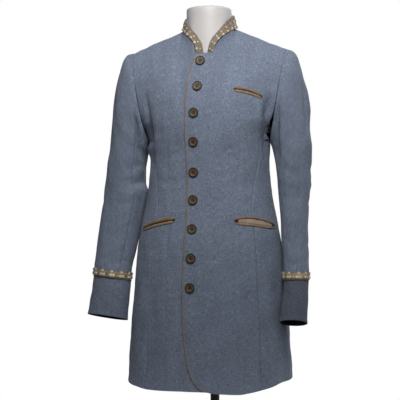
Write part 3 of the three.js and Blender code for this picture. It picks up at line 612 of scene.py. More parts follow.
def wool_material(name, shade=1.0):
    """Wool on the cloth map. shade darkens the whole cloth, a painted shade for a part in shadow."""
    material, tree, shader = new_material(name, 0.93, Sheen_Weight=0.12, Sheen_Roughness=0.5)
    vector = put(tree, "ShaderNodeUVMap", {"uv_map": "cloth"}).outputs[0]
    split = put(tree, "ShaderNodeSeparateXYZ", {0: vector}).outputs
    warp = grain(tree, vector, SLUB_WIDE, (1, SLUB_LONG / SLUB_WIDE, 1), 3.0)
    weft = grain(tree, vector, SLUB_WIDE, (SLUB_LONG / SLUB_WIDE, 0.8, 1), 3.0)
    fleck = grain(tree, vector, FLECK, (1, 1, 1), 4.0)
    cloud = grain(tree, vector, CLOUD, (1, 1.6, 1), 3.0)
    base, pale, deep = [[c * shade for c in tone[:3]] + [1] for tone in WOOL_TONES]
    layers = [
        (cloud, 0.35, 0.70, 0.28, deep),
        (fleck, 0.42, 0.70, 0.30, pale),
        (fleck, 0.50, 0.28, 0.35, deep),
        (warp, 0.56, 0.68, 0.60, pale),
        (weft, 0.57, 0.69, 0.75, pale),
        (warp, 0.42, 0.31, 0.60, deep),
        (weft, 0.41, 0.30, 0.85, deep),
    ]
    tone = layered(tree, base, layers)
    panes = {0: pane_line(tree, split[0], 0.3), 1: pane_line(tree, split[1], 0.1)}
    lines = put(tree, "ShaderNodeMath", {"operation": "MAXIMUM", **panes}).outputs[0]
    limits = {"Value": fleck, "From Min": 0.35, "From Max": 0.65, "To Max": 0.22}
    worn = put(tree, "ShaderNodeMapRange", limits).outputs[0]
    faint = put(tree, "ShaderNodeMath", {"operation": "MULTIPLY", 0: lines, 1: worn}).outputs[0]
    tone = put(tree, "ShaderNodeMix", {"data_type": "RGBA", 0: faint, 6: tone, 7: pale}).outputs[2]
    threads = {0: ridges(tree, split[0], YARN), 1: ridges(tree, split[1], YARN)}
    weave = put(tree, "ShaderNodeMath", {"operation": "MULTIPLY", **threads}).outputs[0]
    slubs = put(tree, "ShaderNodeMath", {"operation": "ADD", 0: warp, 1: weft}).outputs[0]
    raised = {"operation": "MULTIPLY_ADD", 0: weave, 1: 0.25, 2: slubs}
    finish(tree, shader, tone, put(tree, "ShaderNodeMath", raised).outputs[0], 0.0009, 0.7)
    return material


wool = wool_material("slubbed wool")
# the cuffs' wool is darkened by a painted shade, the wearer's left cuff most
cuff_wools_painted_shade = {
    "left": wool_material("slubbed wool, left cuff, painted shade", 0.52),
    "right": wool_material("slubbed wool, right cuff, painted shade", 0.88),
}

# %% [markdown]
# ### Lining, suede, ribbon and beads
# The lining is a dark twill of viscose. The piping and jets are brown suede, cut on the bias and
# rolled, paler where the nap is rubbed. The trim is a tan ribbon woven with olive and copper
# thread, and it carries small glass beads, cream on the collar and pearl on the cuffs.

# %% Lining
LINING_DARK, LINING_SHEEN = colour("#14181c"), colour("#262c33")
TWILL, LINING_PATCH = 0.0016, 0.03  # from one rib to the next, and the size of a patch of painted sheen


def lining_material():
    """A fine diagonal rib in two dark tones, which gives the inside a dull gleam."""
    material, tree, shader = new_material("viscose lining", 0.5)
    vector = put(tree, "ShaderNodeUVMap", {"uv_map": "cloth"}).outputs[0]
    split = put(tree, "ShaderNodeSeparateXYZ", {0: vector}).outputs
    slant = put(tree, "ShaderNodeMath", {"operation": "ADD", 0: split[0], 1: split[1]}).outputs[0]
    layers = [(grain(tree, vector, LINING_PATCH), 0.3, 0.7, 1.0, LINING_SHEEN)]
    tone = layered(tree, LINING_DARK, layers)
    finish(tree, shader, tone, ridges(tree, slant, TWILL), 0.0002, 0.5)
    return material


lining = lining_material()

# %% Suede
NAP, NAP_PATCH = 0.0012, 0.011  # the nap's tufts, and the patches that lie the other way


def suede_material(name, dark, middle, rubbed):
    """Suede in three tones. Its nap is half a millimetre long, drawn at 1.2 mm so that it shows."""
    material, tree, shader = new_material(name, 0.88, Sheen_Weight=0.25)
    vector = put(tree, "ShaderNodeTexCoord").outputs["Object"]
    nap = grain(tree, vector, NAP, (1, 1, 1), 4.0)
    patch = grain(tree, vector, NAP_PATCH, (1, 1, 1), 3.0)
    layers = [(patch, 0.35, 0.65, 1.0, colour(middle)), (nap, 0.45, 0.72, 0.8, colour(rubbed))]
    finish(tree, shader, layered(tree, colour(dark), layers), nap, 0.0006, 0.7)
    return material


suede = suede_material("brown suede", "#746760", "#8e7d72", "#a89484")
jet_suede = suede_material("tan suede", "#7d6450", "#a08468", "#bd9f7c")
# the upper jet's suede is the jet suede made darker, a painted shade
upper_jet_painted_shade = suede_material("brown suede, upper jet, painted shade", "#715c48", "#8f745a", "#ad8e6e")
cuff_suede = suede_material("dark suede", "#584c3e", "#6f604c", "#8d7a5e")
binding_suede = suede_material("taupe binding", "#6f635c", "#877a70", "#a3968a")
pocket_cloth = suede_material("pocket lining", "#9a8672", "#b19c86", "#c8b49c")
# a dark leaf in each pocket's slit is a painted shadow, and round the open pocket's lining it shows as
# a dark rim
slit_shade = suede_material("painted shadow in the pocket slit", "#1c1512", "#2a201a", "#3a2c22")

# %% Ribbon
PITCH = 0.0245  # from one patch to the next, and from one group of a cuff's beads to the next
RIB, THREAD = 0.0022, 0.0016  # the ribbon's ribs and its threads
PALE_THREAD = "#d8c3a0"


def ribbon_material(name, tan, olive, copper):
    """A ribbon with a patch of olive or copper thread between one bead group and the next."""
    material, tree, shader = new_material(name, 0.55)
    vector = put(tree, "ShaderNodeUVMap", {"uv_map": "cloth"}).outputs[0]
    split = put(tree, "ShaderNodeSeparateXYZ", {0: vector}).outputs
    patch = off_middle(tree, split[0], PITCH, 0.5)
    pair = off_middle(tree, split[0], 2 * PITCH, 0.5)
    thread = grain(tree, vector, THREAD, (1, 5, 1), 3.0)
    metal = layered(tree, colour(olive), [(pair, 0.249, 0.251, 1.0, colour(copper))])
    layers = [
        (thread, 0.30, 0.70, 0.5, colour(olive)),
        (patch, 0.30, 0.24, 0.5, metal),
        (thread, 0.62, 0.75, 0.5, colour(PALE_THREAD)),
    ]
    tone = layered(tree, colour(tan), layers)
    raised = {"operation": "ADD", 0: ridges(tree, split[0], RIB), 1: thread}
    finish(tree, shader, tone, put(tree, "ShaderNodeMath", raised).outputs[0], 0.0006, 0.8)
    return material


cuff_ribbon = ribbon_material("cuff ribbon", "#c4ab86", "#a99470", "#bd9870")
collar_ribbon = ribbon_material("collar ribbon", "#a3947e", "#8a7d60", "#a8856c")

# %% [markdown]
# ### Glass, horn, fibreglass and steel
# The beads are pressed glass and shine softly. The buttons are turned horn, dark at the rim and
# paler on the ring, partly the horn's own tone and partly a painted highlight. The form is
# fibreglass with a satin paint, nearly one tone all over, and the stand is steel under black paint.
# Each has three close tones, so that none looks like plastic.

# %% Glass, horn, fibreglass and steel


def speckled(name, roughness, tones, size, bump=0.0002, **sockets):
    """A hard material in three tones that change over about size metres."""
    material, tree, shader = new_material(name, roughness, **sockets)
    vector = put(tree, "ShaderNodeTexCoord").outputs["Object"]
    broad = grain(tree, vector, size, (1, 1, 1), 3.0)
    fine = grain(tree, vector, size / 6, (1, 1, 1), 3.0)
    first, second, third = [colour(tone) for tone in tones]
    layers = [(broad, 0.35, 0.65, 1.0, second), (fine, 0.55, 0.75, 0.7, third)]
    limits = {"Value": fine, "To Min": roughness * 0.8, "To Max": roughness * 1.2}
    shine = put(tree, "ShaderNodeMapRange", limits)
    tree.links.new(shine.outputs[0], shader.inputs["Roughness"])
    finish(tree, shader, layered(tree, first, layers), fine, bump, 0.6)
    return material


bead_glass = speckled("cream glass beads", 0.3, ("#bcb09d", "#d2c7b4", "#e6ddcc"), 0.006)
pearl_glass = speckled("pearl glass beads", 0.3, ("#c6bba9", "#dbd1c1", "#ece3d6"), 0.006)
copper_bead = speckled("copper sequins", 0.35, ("#8d7660", "#a58b70", "#c0a688"), 0.005, Metallic=0.4)
cord_thread = speckled("tan cord", 0.8, ("#887660", "#a28d70", "#bda888"), 0.003, 0.0005)
horn_rim = speckled("aged horn, rim", 0.5, ("#28241d", "#3c352a", "#5e5443"), 0.006)
# the ring is paler than rim and centre, partly the horn's own tone and partly a painted highlight
horn_ring_tone_and_highlight = speckled("aged horn, ring, with painted highlight", 0.45, ("#554b31", "#716346", "#908058"), 0.005)
horn_heart = speckled("aged horn, centre", 0.55, ("#3b2419", "#563829", "#765039"), 0.004)
form_white = speckled("painted fibreglass", 0.42, ("#d4d0ce", "#dad6d4", "#e0dcda"), 0.09, 0.0001)
black_steel = speckled("black painted steel", 0.35, ("#121213", "#19191b", "#242426"), 0.02)

# %% [markdown]
# ## The dress form
# The coat hangs on it, so it comes first. Its skin lies just under the cloth at the shoulders and
# further in elsewhere. It ends inside the skirt in a flat plate, and above the collar in a round
# neck with a soft edge.

# %% The form's skin
FORM_BOTTOM_Z = 190
CLOTH = 2.0
FORM_TOP = [(56, 0.6), (56, 0.88), (55.4, 0.925), (53.4, 0.965), (50, 0.99), (44, 1), (25, 1.003)]
NECK_AT, NECK_FROM, NECK_TOP = -8.0, 960.0, 1018.0


def form_turns():
    return np.linspace(-180, 180, 216, endpoint=False) + 1e-4


def form_loop(level):
    """One ring of the form's skin, with front and back meeting at the sides."""
    turn = form_turns()
    count, level = len(turn), float(level)
    p = body(turn, np.full(count, level))
    ahead = np.roll(p, -1, axis=0) - np.roll(p, 1, axis=0)
    high = min(2.0, level + 0.01)
    rise = body(turn, np.full(count, high)) - body(turn, np.full(count, max(0, high - 0.02)))
    n = upright_at_shoulder(unit(np.cross(ahead, rise)), turn, level)
    column = column_of(turn)
    shoulder = smooth((level - 1.9) / 0.1) * smooth((column - NECK_SHARE) / 0.08)
    throat = smooth((level - 1.6) / 0.4) * smooth((NECK_SHARE - column) / 0.15)
    armhole = smooth((column - 0.5) / 0.25) * smooth((level - 0.8) / 0.2)
    armhole = armhole * smooth((1.85 - level) / 0.35)
    clear = mix(mix(6.5 + 9 * armhole, 0.8, shoulder), 20.0, throat)
    return p - (CLOTH + clear[:, None]) * n


def grid_mesh(name, rows, cap_low, cap_high, material):
    """A closed mesh from rings of points, with a point to close each end."""
    rows = np.asarray(rows)
    count, wide = rows.shape[:2]
    index = np.arange(count * wide).reshape(count, wide)
    right = np.roll(index, -1, axis=1)
    faces = np.stack([index[:-1], right[:-1], right[1:], index[1:]], -1).reshape(-1, 4).tolist()
    low, high = count * wide, count * wide + 1
    faces += [[int(b), int(a), low] for a, b in zip(index[0], right[0])]
    faces += [[int(a), int(b), high] for a, b in zip(index[-1], right[-1])]
    points = np.concatenate([rows.reshape(-1, 3), [cap_low, cap_high]])
    mesh = bpy.data.meshes.new(name)
    mesh.from_pydata(((points + COAT_AT) * MM).tolist(), [], faces)
    mesh.materials.append(material)
    mesh.update()
    obj = bpy.data.objects.new(name, mesh)
    bpy.context.scene.collection.objects.link(obj)
    return obj


low_level = (FORM_BOTTOM_Z - HEM_Z) / (UNDERARM_Z - HEM_Z)
levels = [*np.linspace(low_level, 1, 40), *(1 + np.linspace(0.02, 0.97, 40)), 2.0]
skin = [form_loop(level) for level in levels]
# above the shoulders every ring is a circle, and the shoulders' points slide in to its sides
turns = form_turns()
quarter = 90 * np.minimum(column_of(turns) / NECK_SHARE, 1)
angles = np.radians(np.sign(turns) * np.where(np.abs(turns) <= 90, quarter, 180 - quarter))
sine, cosine = np.sin(angles), np.cos(angles)
root = np.stack([57 * sine, NECK_AT - 57 * cosine, 955 - 30 * cosine], -1)
shoulders = skin[-1]
for share in (0.2, 0.4, 0.6, 0.8, 1.0):
    skin.append(mix(shoulders, root, smooth(share)))
for radius, share in FORM_TOP:
    z = mix(NECK_FROM, NECK_TOP, share)
    skin.append(np.stack([radius * sine, NECK_AT - radius * cosine, 0 * sine + z], -1))
dress_form = grid_mesh("dress_form", skin, (0, 0, FORM_BOTTOM_Z), (0, NECK_AT, NECK_TOP), form_white)
by_angle(dress_form, 40)
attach(dress_form, ROOT)
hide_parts("form_body")
print("dress form", len(dress_form.data.polygons), "faces")

# %% [markdown]
# ## The stand
# A black pole runs up into a socket under the form and down into a round steel foot. All three are
# cylinders with a face inset. The socket's and the foot's insets are moved, and their edges bevelled.

# %% Pole and foot


def select_faces(obj, test):
    """Selects the faces whose centre and normal pass the test, in edit mode."""
    bpy.ops.object.mode_set(mode="OBJECT")
    for vertex in obj.data.vertices:
        vertex.select = False
    for edge in obj.data.edges:
        edge.select = False
    for face in obj.data.polygons:
        face.select = bool(test(face.center, face.normal))
    bpy.ops.object.mode_set(mode="EDIT")
    bpy.ops.mesh.select_mode(type="FACE")


def settle(obj, name, material=None):
    """Puts the place into the mesh, names the piece and gives it its finish."""
    alone(obj)
    bpy.ops.object.transform_apply(location=True, rotation=True, scale=True)
    obj.name = name
    obj.data.name = name
    if material:
        obj.data.materials.clear()
        obj.data.materials.append(material)
    return obj


def round_edges(obj, width, segments=3):
    """A bevel on the sharp edges, applied."""
    alone(obj)
    bevel = obj.modifiers.new("edges", "BEVEL")
    bevel.width = width
    bevel.segments = segments
    bevel.limit_method = "ANGLE"
    bpy.ops.object.modifier_apply(modifier=bevel.name)


def turned(name, radius, low, high, material):
    """A cylinder on the pole's axis between two heights."""
    deselect()
    bpy.ops.mesh.primitive_cylinder_add(
        vertices=64, radius=radius, depth=high - low, location=(0, 0, (low + high) / 2)
    )
    return settle(bpy.context.object, name, material)


POLE_TOP, SOCKET_DEEP, SOCKET_RADIUS = 0.1897, 0.012, 0.034
pole = turned("pole", 0.011, 0.0123, POLE_TOP, black_steel)
select_faces(pole, lambda at, normal: normal.z > 0.9)
bpy.ops.mesh.inset(thickness=0.0001)
bpy.ops.mesh.select_all(action="DESELECT")
bpy.ops.object.mode_set(mode="OBJECT")
socket = turned("socket", SOCKET_RADIUS, POLE_TOP - SOCKET_DEEP, POLE_TOP, black_steel)
select_faces(socket, lambda at, normal: normal.z < -0.9)
bpy.ops.mesh.inset(thickness=0.012)
bpy.ops.mesh.extrude_region_move(TRANSFORM_OT_translate={"value": (0, 0, -0.004)})
bpy.ops.object.mode_set(mode="OBJECT")
round_edges(socket, 0.0012)
foot = turned("foot", 0.150, 0.0, 0.012, black_steel)
select_faces(foot, lambda at, normal: normal.z > 0.9)
bpy.ops.mesh.inset(thickness=0.006)
bpy.ops.mesh.inset(thickness=0.100)
bpy.ops.mesh.inset(thickness=0.022)
bpy.ops.object.mode_set(mode="OBJECT")
for vertex in foot.data.vertices:
    if vertex.co.z > 0.006 and math.hypot(vertex.co.x, vertex.co.y) > 0.1445:
        vertex.co.z = 0.012 if math.hypot(vertex.co.x, vertex.co.y) < 0.149 else 0.007
round_edges(foot, 0.0015)
for piece, node in ((pole, "stand_pole"), (foot, "stand_foot")):
    by_angle(piece, 35)
    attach(piece, ROOT)
    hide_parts(node)
by_angle(socket, 35)
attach(socket, ROOT)
print("stand", len(foot.data.polygons), "faces in the foot")

# %% [markdown]
# ## Body panels
# The wearer's left front laps over the right one, so it stands off by a cloth's thickness. A dart
# runs down each front from the chest and goes on as a seam to the hem. The seams at the side and the
# armhole are where two panels end, so their edges only dip.

# %% The left front's edge and the lap
OVERLAP = CLOTH + 0.6
INNER_FRONT_X = 8
FRONT_EDGE = [
    [102, 22],
    [104.5, 12],
    [111, -3],
    [122, -13],
    [148, -26.5],
    [180, -34],
    [212, -38.5],
    [250, -42],
    [300, -43.5],
    [400, -43],
    [490, -37],
    [600, -35],
    [650, -37],
    [700, -40],
    [750, -40],
    [816, -34.5],
    [870, -26],
    [903, -21],
]
# the side seam's turn at the hem and at the underarm, how far a side body climbs beside the armhole
# in levels, and half a seam's gap in millimetres
SEAM_LOW, SEAM_UNDERARM, HORN, SEAM_GAP = 51.0, 66.0, 0.25, 0.2
DART_X = 87.0


def edge_x(z):
    return curve(FRONT_EDGE, z)[..., 0]


def lap_lift(x, z):
    """How far the outer front is lifted over the inner one."""
    narrow = mix(30, 14, smooth((z - 800) / 80))
    return OVERLAP * (1 - smooth((x - INNER_FRONT_X - 10) / narrow))


def side_seam(level):
    """The turn of the seam between the front and the side body."""
    low = mix(SEAM_LOW, SEAM_UNDERARM, smooth((level - 0.7) / 0.3))
    high = mix(SEAM_UNDERARM, 90, np.clip((level - 1) / HORN, 0, 1) ** 2)
    return np.where(level <= 1, low, high)


def gap_turn(turn, level):
    """Half a seam's gap, as a turn."""
    wide = np.linalg.norm(body(turn + 0.5, level) - body(turn - 0.5, level), axis=-1)
    return SEAM_GAP / wide


def all_creases(p, n, seed=4):
    """The body's creases together, with the cloth's slow unevenness."""
    total = ripple(p, seed)
    for view, path, width, depth in BODY_CREASES:
        total = total + crease(p, n, view, path, width, depth)
    neck = smooth((p[..., 2] - 850) / 90) * (1 - smooth((975 - p[..., 2]) / 60))
    return pressed(total * (1 - neck), p, np.abs(n[..., 0]))


def pressed(lift, p, toward):
    """No crease stands out where the sleeves lean on the hips."""
    z = p[..., 2]
    near = smooth((z - 410) / 20) * smooth((605 - z) / 20) * smooth((toward - 0.5) / 0.3)
    return lift - np.maximum(lift, 0) * near


def skin_normals(side, turn, level):
    """The coat's outward normals, the same on both panels of a seam."""
    front = turn <= 90
    ahead = np.where(front, np.minimum(turn + 0.3, 90), turn + 0.3)
    behind = np.where(front, turn - 0.3, np.maximum(turn - 0.3, 90.001))
    around = body(side * ahead, level) - body(side * behind, level)
    above = np.where(level > 1, level + 0.004, np.clip(level, 0.008, 1))
    below = np.where(level > 1, level - 0.004, above - 0.008)
    upward = body(side * turn, above) - body(side * turn, below)
    n = side * unit(np.cross(around, upward))
    flat = np.full(np.shape(level), 1.0)
    around = body(side * ahead, flat) - body(side * behind, flat)
    upward = body(side * turn, flat) - body(side * turn, flat - 0.008)
    level_n = side * unit(np.cross(around, upward))
    near = np.where(level > 1, 1 - smooth((level - 1) / 0.22), 0)
    return unit(mix(n, level_n, near[..., None]))


# %% The hem
# x, and how much higher the hem hangs there
HEM_HANG = [
    [-203, 6],
    [-168, 3],
    [-130, -2],
    [-60, -1],
    [0, -1],
    [40, -5],
    [90, -6.5],
    [116, -3],
    [140, 2],
    [165, 8.5],
    [182, 15],
    [203, 18],
]


def hang(p):
    """The skirt's points, with the hem a little low at the lap and high at the left side."""
    low = np.clip((300 - p[..., 2]) / 198, 0, 1) ** 1.6
    behind = 1 - 0.6 * smooth(p[..., 1] / 120)
    moved = p.copy()
    moved[..., 2] += curve(HEM_HANG, p[..., 0])[..., 0] * low * behind
    return moved


# %% Seams of the armhole and the shoulder
SHOULDER_GAP = 0.5


def left_of_dip(p):
    """How much of a seam's dip is left beside the armhole, which fades out at the shoulder."""
    z = p[..., 2]
    return mix(0.3, 1, smooth((760 - z) / 40)) * smooth((905 - z) / 30)


def part_at_shoulder(p, level, way):
    """Moves a panel's top row back from the shoulder seam, by half the seam's gap."""
    top = level[:, 0] > 1.998
    on_shoulder = np.abs(p[top, :, 0]) > NECK_SIDE[0] - 1
    p[top, :, 1] += way * SHOULDER_GAP / 2 * on_shoulder
    return p


# %% Levels of the rows
CORNER = [0, 0.0022, 0.006, 0.01, 0.015, 0.021, 0.027, 0.034]
LOW_ROWS = np.unique(np.concatenate([CORNER, spread(591, 3.2)]))
HIGH_ROWS = np.concatenate([1 + np.linspace(0, 0.94, 84)[1:], [1.955, 1.968, 1.98, 1.99, 1.9985]])
ROWS = np.concatenate([LOW_ROWS, HIGH_ROWS])
print(len(ROWS), "rows in a front")

# %% Fronts


def front_panel(side):
    """Grid, turns and columns of one front. side is 1 on the wearer's left, which is outside."""
    level = ROWS
    edge = edge_x(body(-10.0, level)[..., 2]) if side > 0 else np.full(level.shape, -8.0)
    start = turn_at(edge, level)
    dart = turn_at(DART_X, level)
    seam = side_seam(level)
    end = seam - np.where(level < 1 + HORN, gap_turn(seam, level), 0)
    end = np.minimum(end, 90)
    dart = np.minimum(dart, mix(start, end, 0.72))
    to_dart, to_seam = spread(125, 3.0), spread(72, 3.0)
    turn = np.concatenate(
        [
            mix(start[:, None], dart[:, None], to_dart),
            mix(dart[:, None], end[:, None], to_seam[1:]),
        ],
        1,
    )
    return turn, level[:, None] + 0 * turn, len(to_dart) - 1


def make_front(side, name, node):
    turn, level, dart_at = front_panel(side)
    p = body(side * turn, level)
    n = skin_normals(side, turn, level)
    n = upright_at_shoulder(n, turn, level)
    along = arcs(p, 1)
    lift = lap_lift(p[..., 0], p[..., 2]) if side > 0 else 0 * along
    lift = lift + all_creases(p, n)
    lift = lift + dip(along[:, [-1]] - along) * left_of_dip(p)
    dart_line = np.abs(along - along[:, [dart_at]])
    reach = smooth((745 - p[..., 2]) / 60)
    lift = lift + dip(dart_line, 0.7, 1.7) * reach
    p = part_at_shoulder(hang(p + lift[..., None] * n), level, -1)
    obj = shell(name, p, n, CLOTH, (wool, lining), dart_at)
    cloth_piece(obj, p, [node])
    return p, n


left_front, left_front_n = make_front(1, "front_left_cloth", "front_left")
right_front, right_front_n = make_front(-1, "front_right_cloth", "front_right")

# %% Side bodies


def make_side(side, name, node):
    """The side body, which ends in a corner on each side of the underarm."""
    share = 2 * spread(200, 4.0) - 1
    reach = np.abs(share)[None, :]
    low = LOW_ROWS[:-1, None] + 0 * reach
    seam = side_seam(low)
    turn_low = mix(90.0, seam + gap_turn(seam, low), reach)
    seam_up = SEAM_UNDERARM + 0.16
    climb = np.linspace(0, 0.93, 22)[:, None]
    high = 1 + climb * HORN * reach
    turn_high = np.minimum(mix(mix(90.0, seam_up, reach), 90.0, climb**2), 90.0)
    level = np.concatenate([low, high])
    turn = np.concatenate([turn_low, turn_high])
    turn = np.where(share[None, :] > 0, 180 - turn + 1e-3, turn)
    p = body(side * turn, level)
    n = skin_normals(side, turn, level)
    along = arcs(p, 1)
    lift = all_creases(p, n) + dip(along) + dip(along[:, [-1]] - along)
    p = hang(p + lift[..., None] * n)
    obj = shell(name, p, n, CLOTH, (wool, lining), p.shape[1] // 2)
    cloth_piece(obj, p, [node])


make_side(1, "side_left_cloth", "side_body_left")
make_side(-1, "side_right_cloth", "side_body_right")

# %% Backs


def make_back(side, name, node):
    """One half of the back, from the centre seam to the side body or the armhole."""
    level = ROWS[:, None]
    seam = 180 - side_seam(level)
    start = np.where(level < 1 + HORN, seam + gap_turn(seam, level), 90.001)
    start = np.maximum(start, 90.001)
    end = 180 - gap_turn(179.0, level)
    turn = mix(end, start, spread(165, 3.2)[None, :])
    level = level + 0 * turn
    p = body(side * turn, level)
    n = skin_normals(side, turn, level)
    n = upright_at_shoulder(n, turn, level)
    along = arcs(p, 1)
    lift = all_creases(p, n) + dip(along) + dip(along[:, [-1]] - along) * left_of_dip(p)
    p = part_at_shoulder(hang(p + lift[..., None] * n), level, 1)
    obj = shell(name, p, n, CLOTH, (wool, lining), 0)
    cloth_piece(obj, p, [node])


make_back(1, "back_left_cloth", "back_left")
make_back(-1, "back_right_cloth", "back_right")

# %% [markdown]
# ## Sleeves and cuffs
# A sleeve is two panels, a wide one on top and a narrow one under the arm. It starts on the
# armhole, rounds over the shoulder point, hangs and swings forward at the elbow. The wearer's right
# arm leans outwards, the left one hangs straight.

# %% The sleeves' measures
# outer point's x and height, inner point's x and height, middle y, half depth, rise in front
SLEEVE_CAP = [
    [203, 909.5, 148, 690, 1.5, 65, 0],
    [213, 899, 149.5, 687, 2, 66, 0],
    [220.5, 878, 150.5, 684, 2.5, 67, 0],
    [229, 848, 151.5, 681, 3, 67, 0],
    [236.5, 812, 152.5, 677.5, 3.5, 66.5, 0],
    [242, 768, 154, 672, 4, 65.5, 0],
    [245, 722, 156.5, 662, 5, 64, 0],
    [249, 680, 159, 648, 5, 63, 0],
]
SLEEVES = {
    "left": SLEEVE_CAP
    + [
        [247.5, 640, 161.5, 626, 6, 62, 0],
        [246, 590, 166, 584, 6, 61, 0],
        [242.5, 545, 170, 543, 2, 59.5, 0],
        [241, 500, 174.5, 500, -7, 58, 0],
        [242, 455, 177, 455, -18, 56, 0],
        [243.5, 410, 182.5, 410, -32, 54, 1],
        [245, 386, 184, 386, -41, 52.9, 1.7],
        [245.5, 362, 184.8, 362, -49.5, 51.9, 2.6],
    ],
    "right": SLEEVE_CAP
    + [
        [256, 643, 162, 628, 6, 61, 0],
        [260, 604, 162, 592, 6, 59.5, 0],
        [263.5, 580, 153.8, 568, 5, 58.5, 0],
        [266.5, 548, 158.6, 536, 3, 57, 0],
        [271, 508, 167, 496, -4, 54, 0],
        [275, 462, 176.4, 450, -14, 50, 0],
        [277.5, 430, 182, 420, -22, 47, 1],
        [278.5, 412, 186, 400, -28, 45, 1],
        [279.9, 391, 188.4, 379.5, -35.3, 43.2, 1.9],
        [280.9, 367, 189.4, 356, -41.3, 41.7, 2.9],
    ],
}
CUFFS = {
    "left": [
        [245.5, 361.4, 184.8, 361.4, -49.5, 51.9, 2.6],
        [245.3, 334, 184.5, 334, -59, 51.3, 4.5],
        [244.3, 298, 182.2, 298, -71.3, 50.6, 8.1],
        [243.5, 260, 179, 260, -83, 50, 12],
    ],
    "right": [
        [280.9, 366.4, 189.4, 355.4, -41.3, 41.7, 2.9],
        [284, 335, 191, 325, -46, 41, 5],
        [289.5, 303, 193.5, 292, -50, 40, 6.5],
        [293, 271, 195.5, 259, -54, 39, 8],
    ],
}
SIDES = {"left": 1.0, "right": -1.0}

# %% Rings of a sleeve


def arm_ring(row, around, side):
    """One section. around is 0 at its outer point, 90 in front and 180 inside."""
    out_x, out_z, in_x, in_z, mid_y, deep, rise = row
    outer = np.array([side * out_x, mid_y, out_z])
    inner = np.array([side * in_x, mid_y, in_z])
    middle, long = (outer + inner) / 2, (outer - inner) / 2
    forward = np.array([0, -deep, rise])
    angle = np.radians(around)[:, None]
    return middle + long * np.cos(angle) + forward * np.sin(angle)


def armhole_ring(around, side):
    """The armhole, in the same turns: 0 at the shoulder tip and 180 under the arm."""
    around = around % 360
    front = around <= 180
    level = 1 + np.where(front, 180 - around, around - 180) / 180
    p = body(side * np.where(front, 90, 90.001), level)
    return p + np.array([side * 0.6, 0, 0])


def arm_surface(name, around, share):
    """A sleeve's points at these shares of its length, on smooth curves through its rings."""
    side = SIDES[name]
    rings = [armhole_ring(around, side)]
    rings += [arm_ring(row, around, side) for row in SLEEVES[name]]
    rings = np.array(rings)
    steps = np.linalg.norm(np.diff(rings, axis=0), axis=-1)
    at = np.concatenate([[0], np.cumsum(steps.mean(1))])
    table = np.concatenate([at[:, None] / at[-1], rings.reshape(len(rings), -1)], 1)
    return curve(table, np.asarray(share, float)).reshape(len(share), len(around), 3)


def arm_creases(name, p, n):
    side = SIDES[name]
    total = ripple(p, 11 if name == "left" else 23)
    for view, path, width, depth in SLEEVE_CREASES[name]:
        if view in ("front", "back"):
            path = [(side * x, z) for x, z in path]
        total = total + crease(p, n, view, path, width, depth)
    return total


def away_from_arm(p, n):
    """Normals that point away from the arm's middle line."""
    middle = p.mean(axis=1, keepdims=True)
    return n * np.sign(np.sum(n * (p - middle)))


# %% Top sleeves and under sleeves
SEAM_BACK, SEAM_FRONT = -112.0, 124.0
ARM_LENGTH = 640.0
SLEEVE_ROWS = spread(ARM_LENGTH, 3.4)


def make_sleeve(name, part, start, end, cell):
    """One panel of a sleeve between two of its seams."""
    full = arm_surface(name, np.linspace(0, 360, 73)[:-1], SLEEVE_ROWS)
    around = mix(start + 0.2, end - 0.2, spread(abs(end - start) * 1.05, cell))
    p = arm_surface(name, around, SLEEVE_ROWS)
    middle = full.mean(axis=1, keepdims=True)
    n = grid_normals(p)
    n = n * np.sign(np.sum(n * (p - middle)))
    along, down = arcs(p, 1), arcs(p, 0)
    hold = smooth(down / 16) * smooth((down[[-1]] - down - 10) / 20)
    lift = pressed(arm_creases(name, p, n) * hold, p, -SIDES[name] * n[..., 0])
    lift = lift + dip(along, 0.7) + dip(along[:, [-1]] - along, 0.7)
    # the shoulder's ease: a soft roll just outside the armhole seam
    high = smooth((p[..., 2] - 760) / 60) * mix(1, 0.2, smooth((p[..., 2] - 860) / 30))
    lift = lift + 1.2 * np.exp(-(((down - 9) / 7) ** 2)) * high
    lift = lift + dip(down, 0.4, 1.6) * (1 - smooth((p[..., 2] - 860) / 30))
    p = p + lift[..., None] * n
    obj = shell(f"{part}_{name}_cloth", p, n, CLOTH, (wool, lining), p.shape[1] // 2)
    cloth_piece(obj, p, [f"{part}_{name}"])


for arm in SIDES:
    make_sleeve(arm, "sleeve_top", SEAM_BACK, SEAM_FRONT, 3.6)
    make_sleeve(arm, "sleeve_under", SEAM_FRONT, SEAM_BACK + 360, 3.6)

# %% Cuffs


def cuff_surface(name, around, share):
    rings = np.array([arm_ring(row, around, SIDES[name]) for row in CUFFS[name]])
    at = np.linspace(0, 1, len(rings))
    table = np.concatenate([at[:, None], rings.reshape(len(rings), -1)], 1)
    return curve(table, np.asarray(share, float)).reshape(len(share), len(around), 3)


CUFF_CREASES = {
    "left": [("front", [(196, 345), (206, 300), (202, 262)], 10, -1.6),
             ("front", [(226, 350), (230, 300), (236, 255)], 9, 1.2),
             ("left", [(-60, 350), (-70, 300), (-84, 255)], 10, -1.4)],
    "right": [("front", [(212, 350), (206, 310), (214, 262)], 10, 1.2),
              ("front", [(240, 356), (250, 310), (252, 262)], 11, -1.5),
              ("right", [(-40, 350), (-46, 300), (-52, 262)], 10, -1.2)],
}


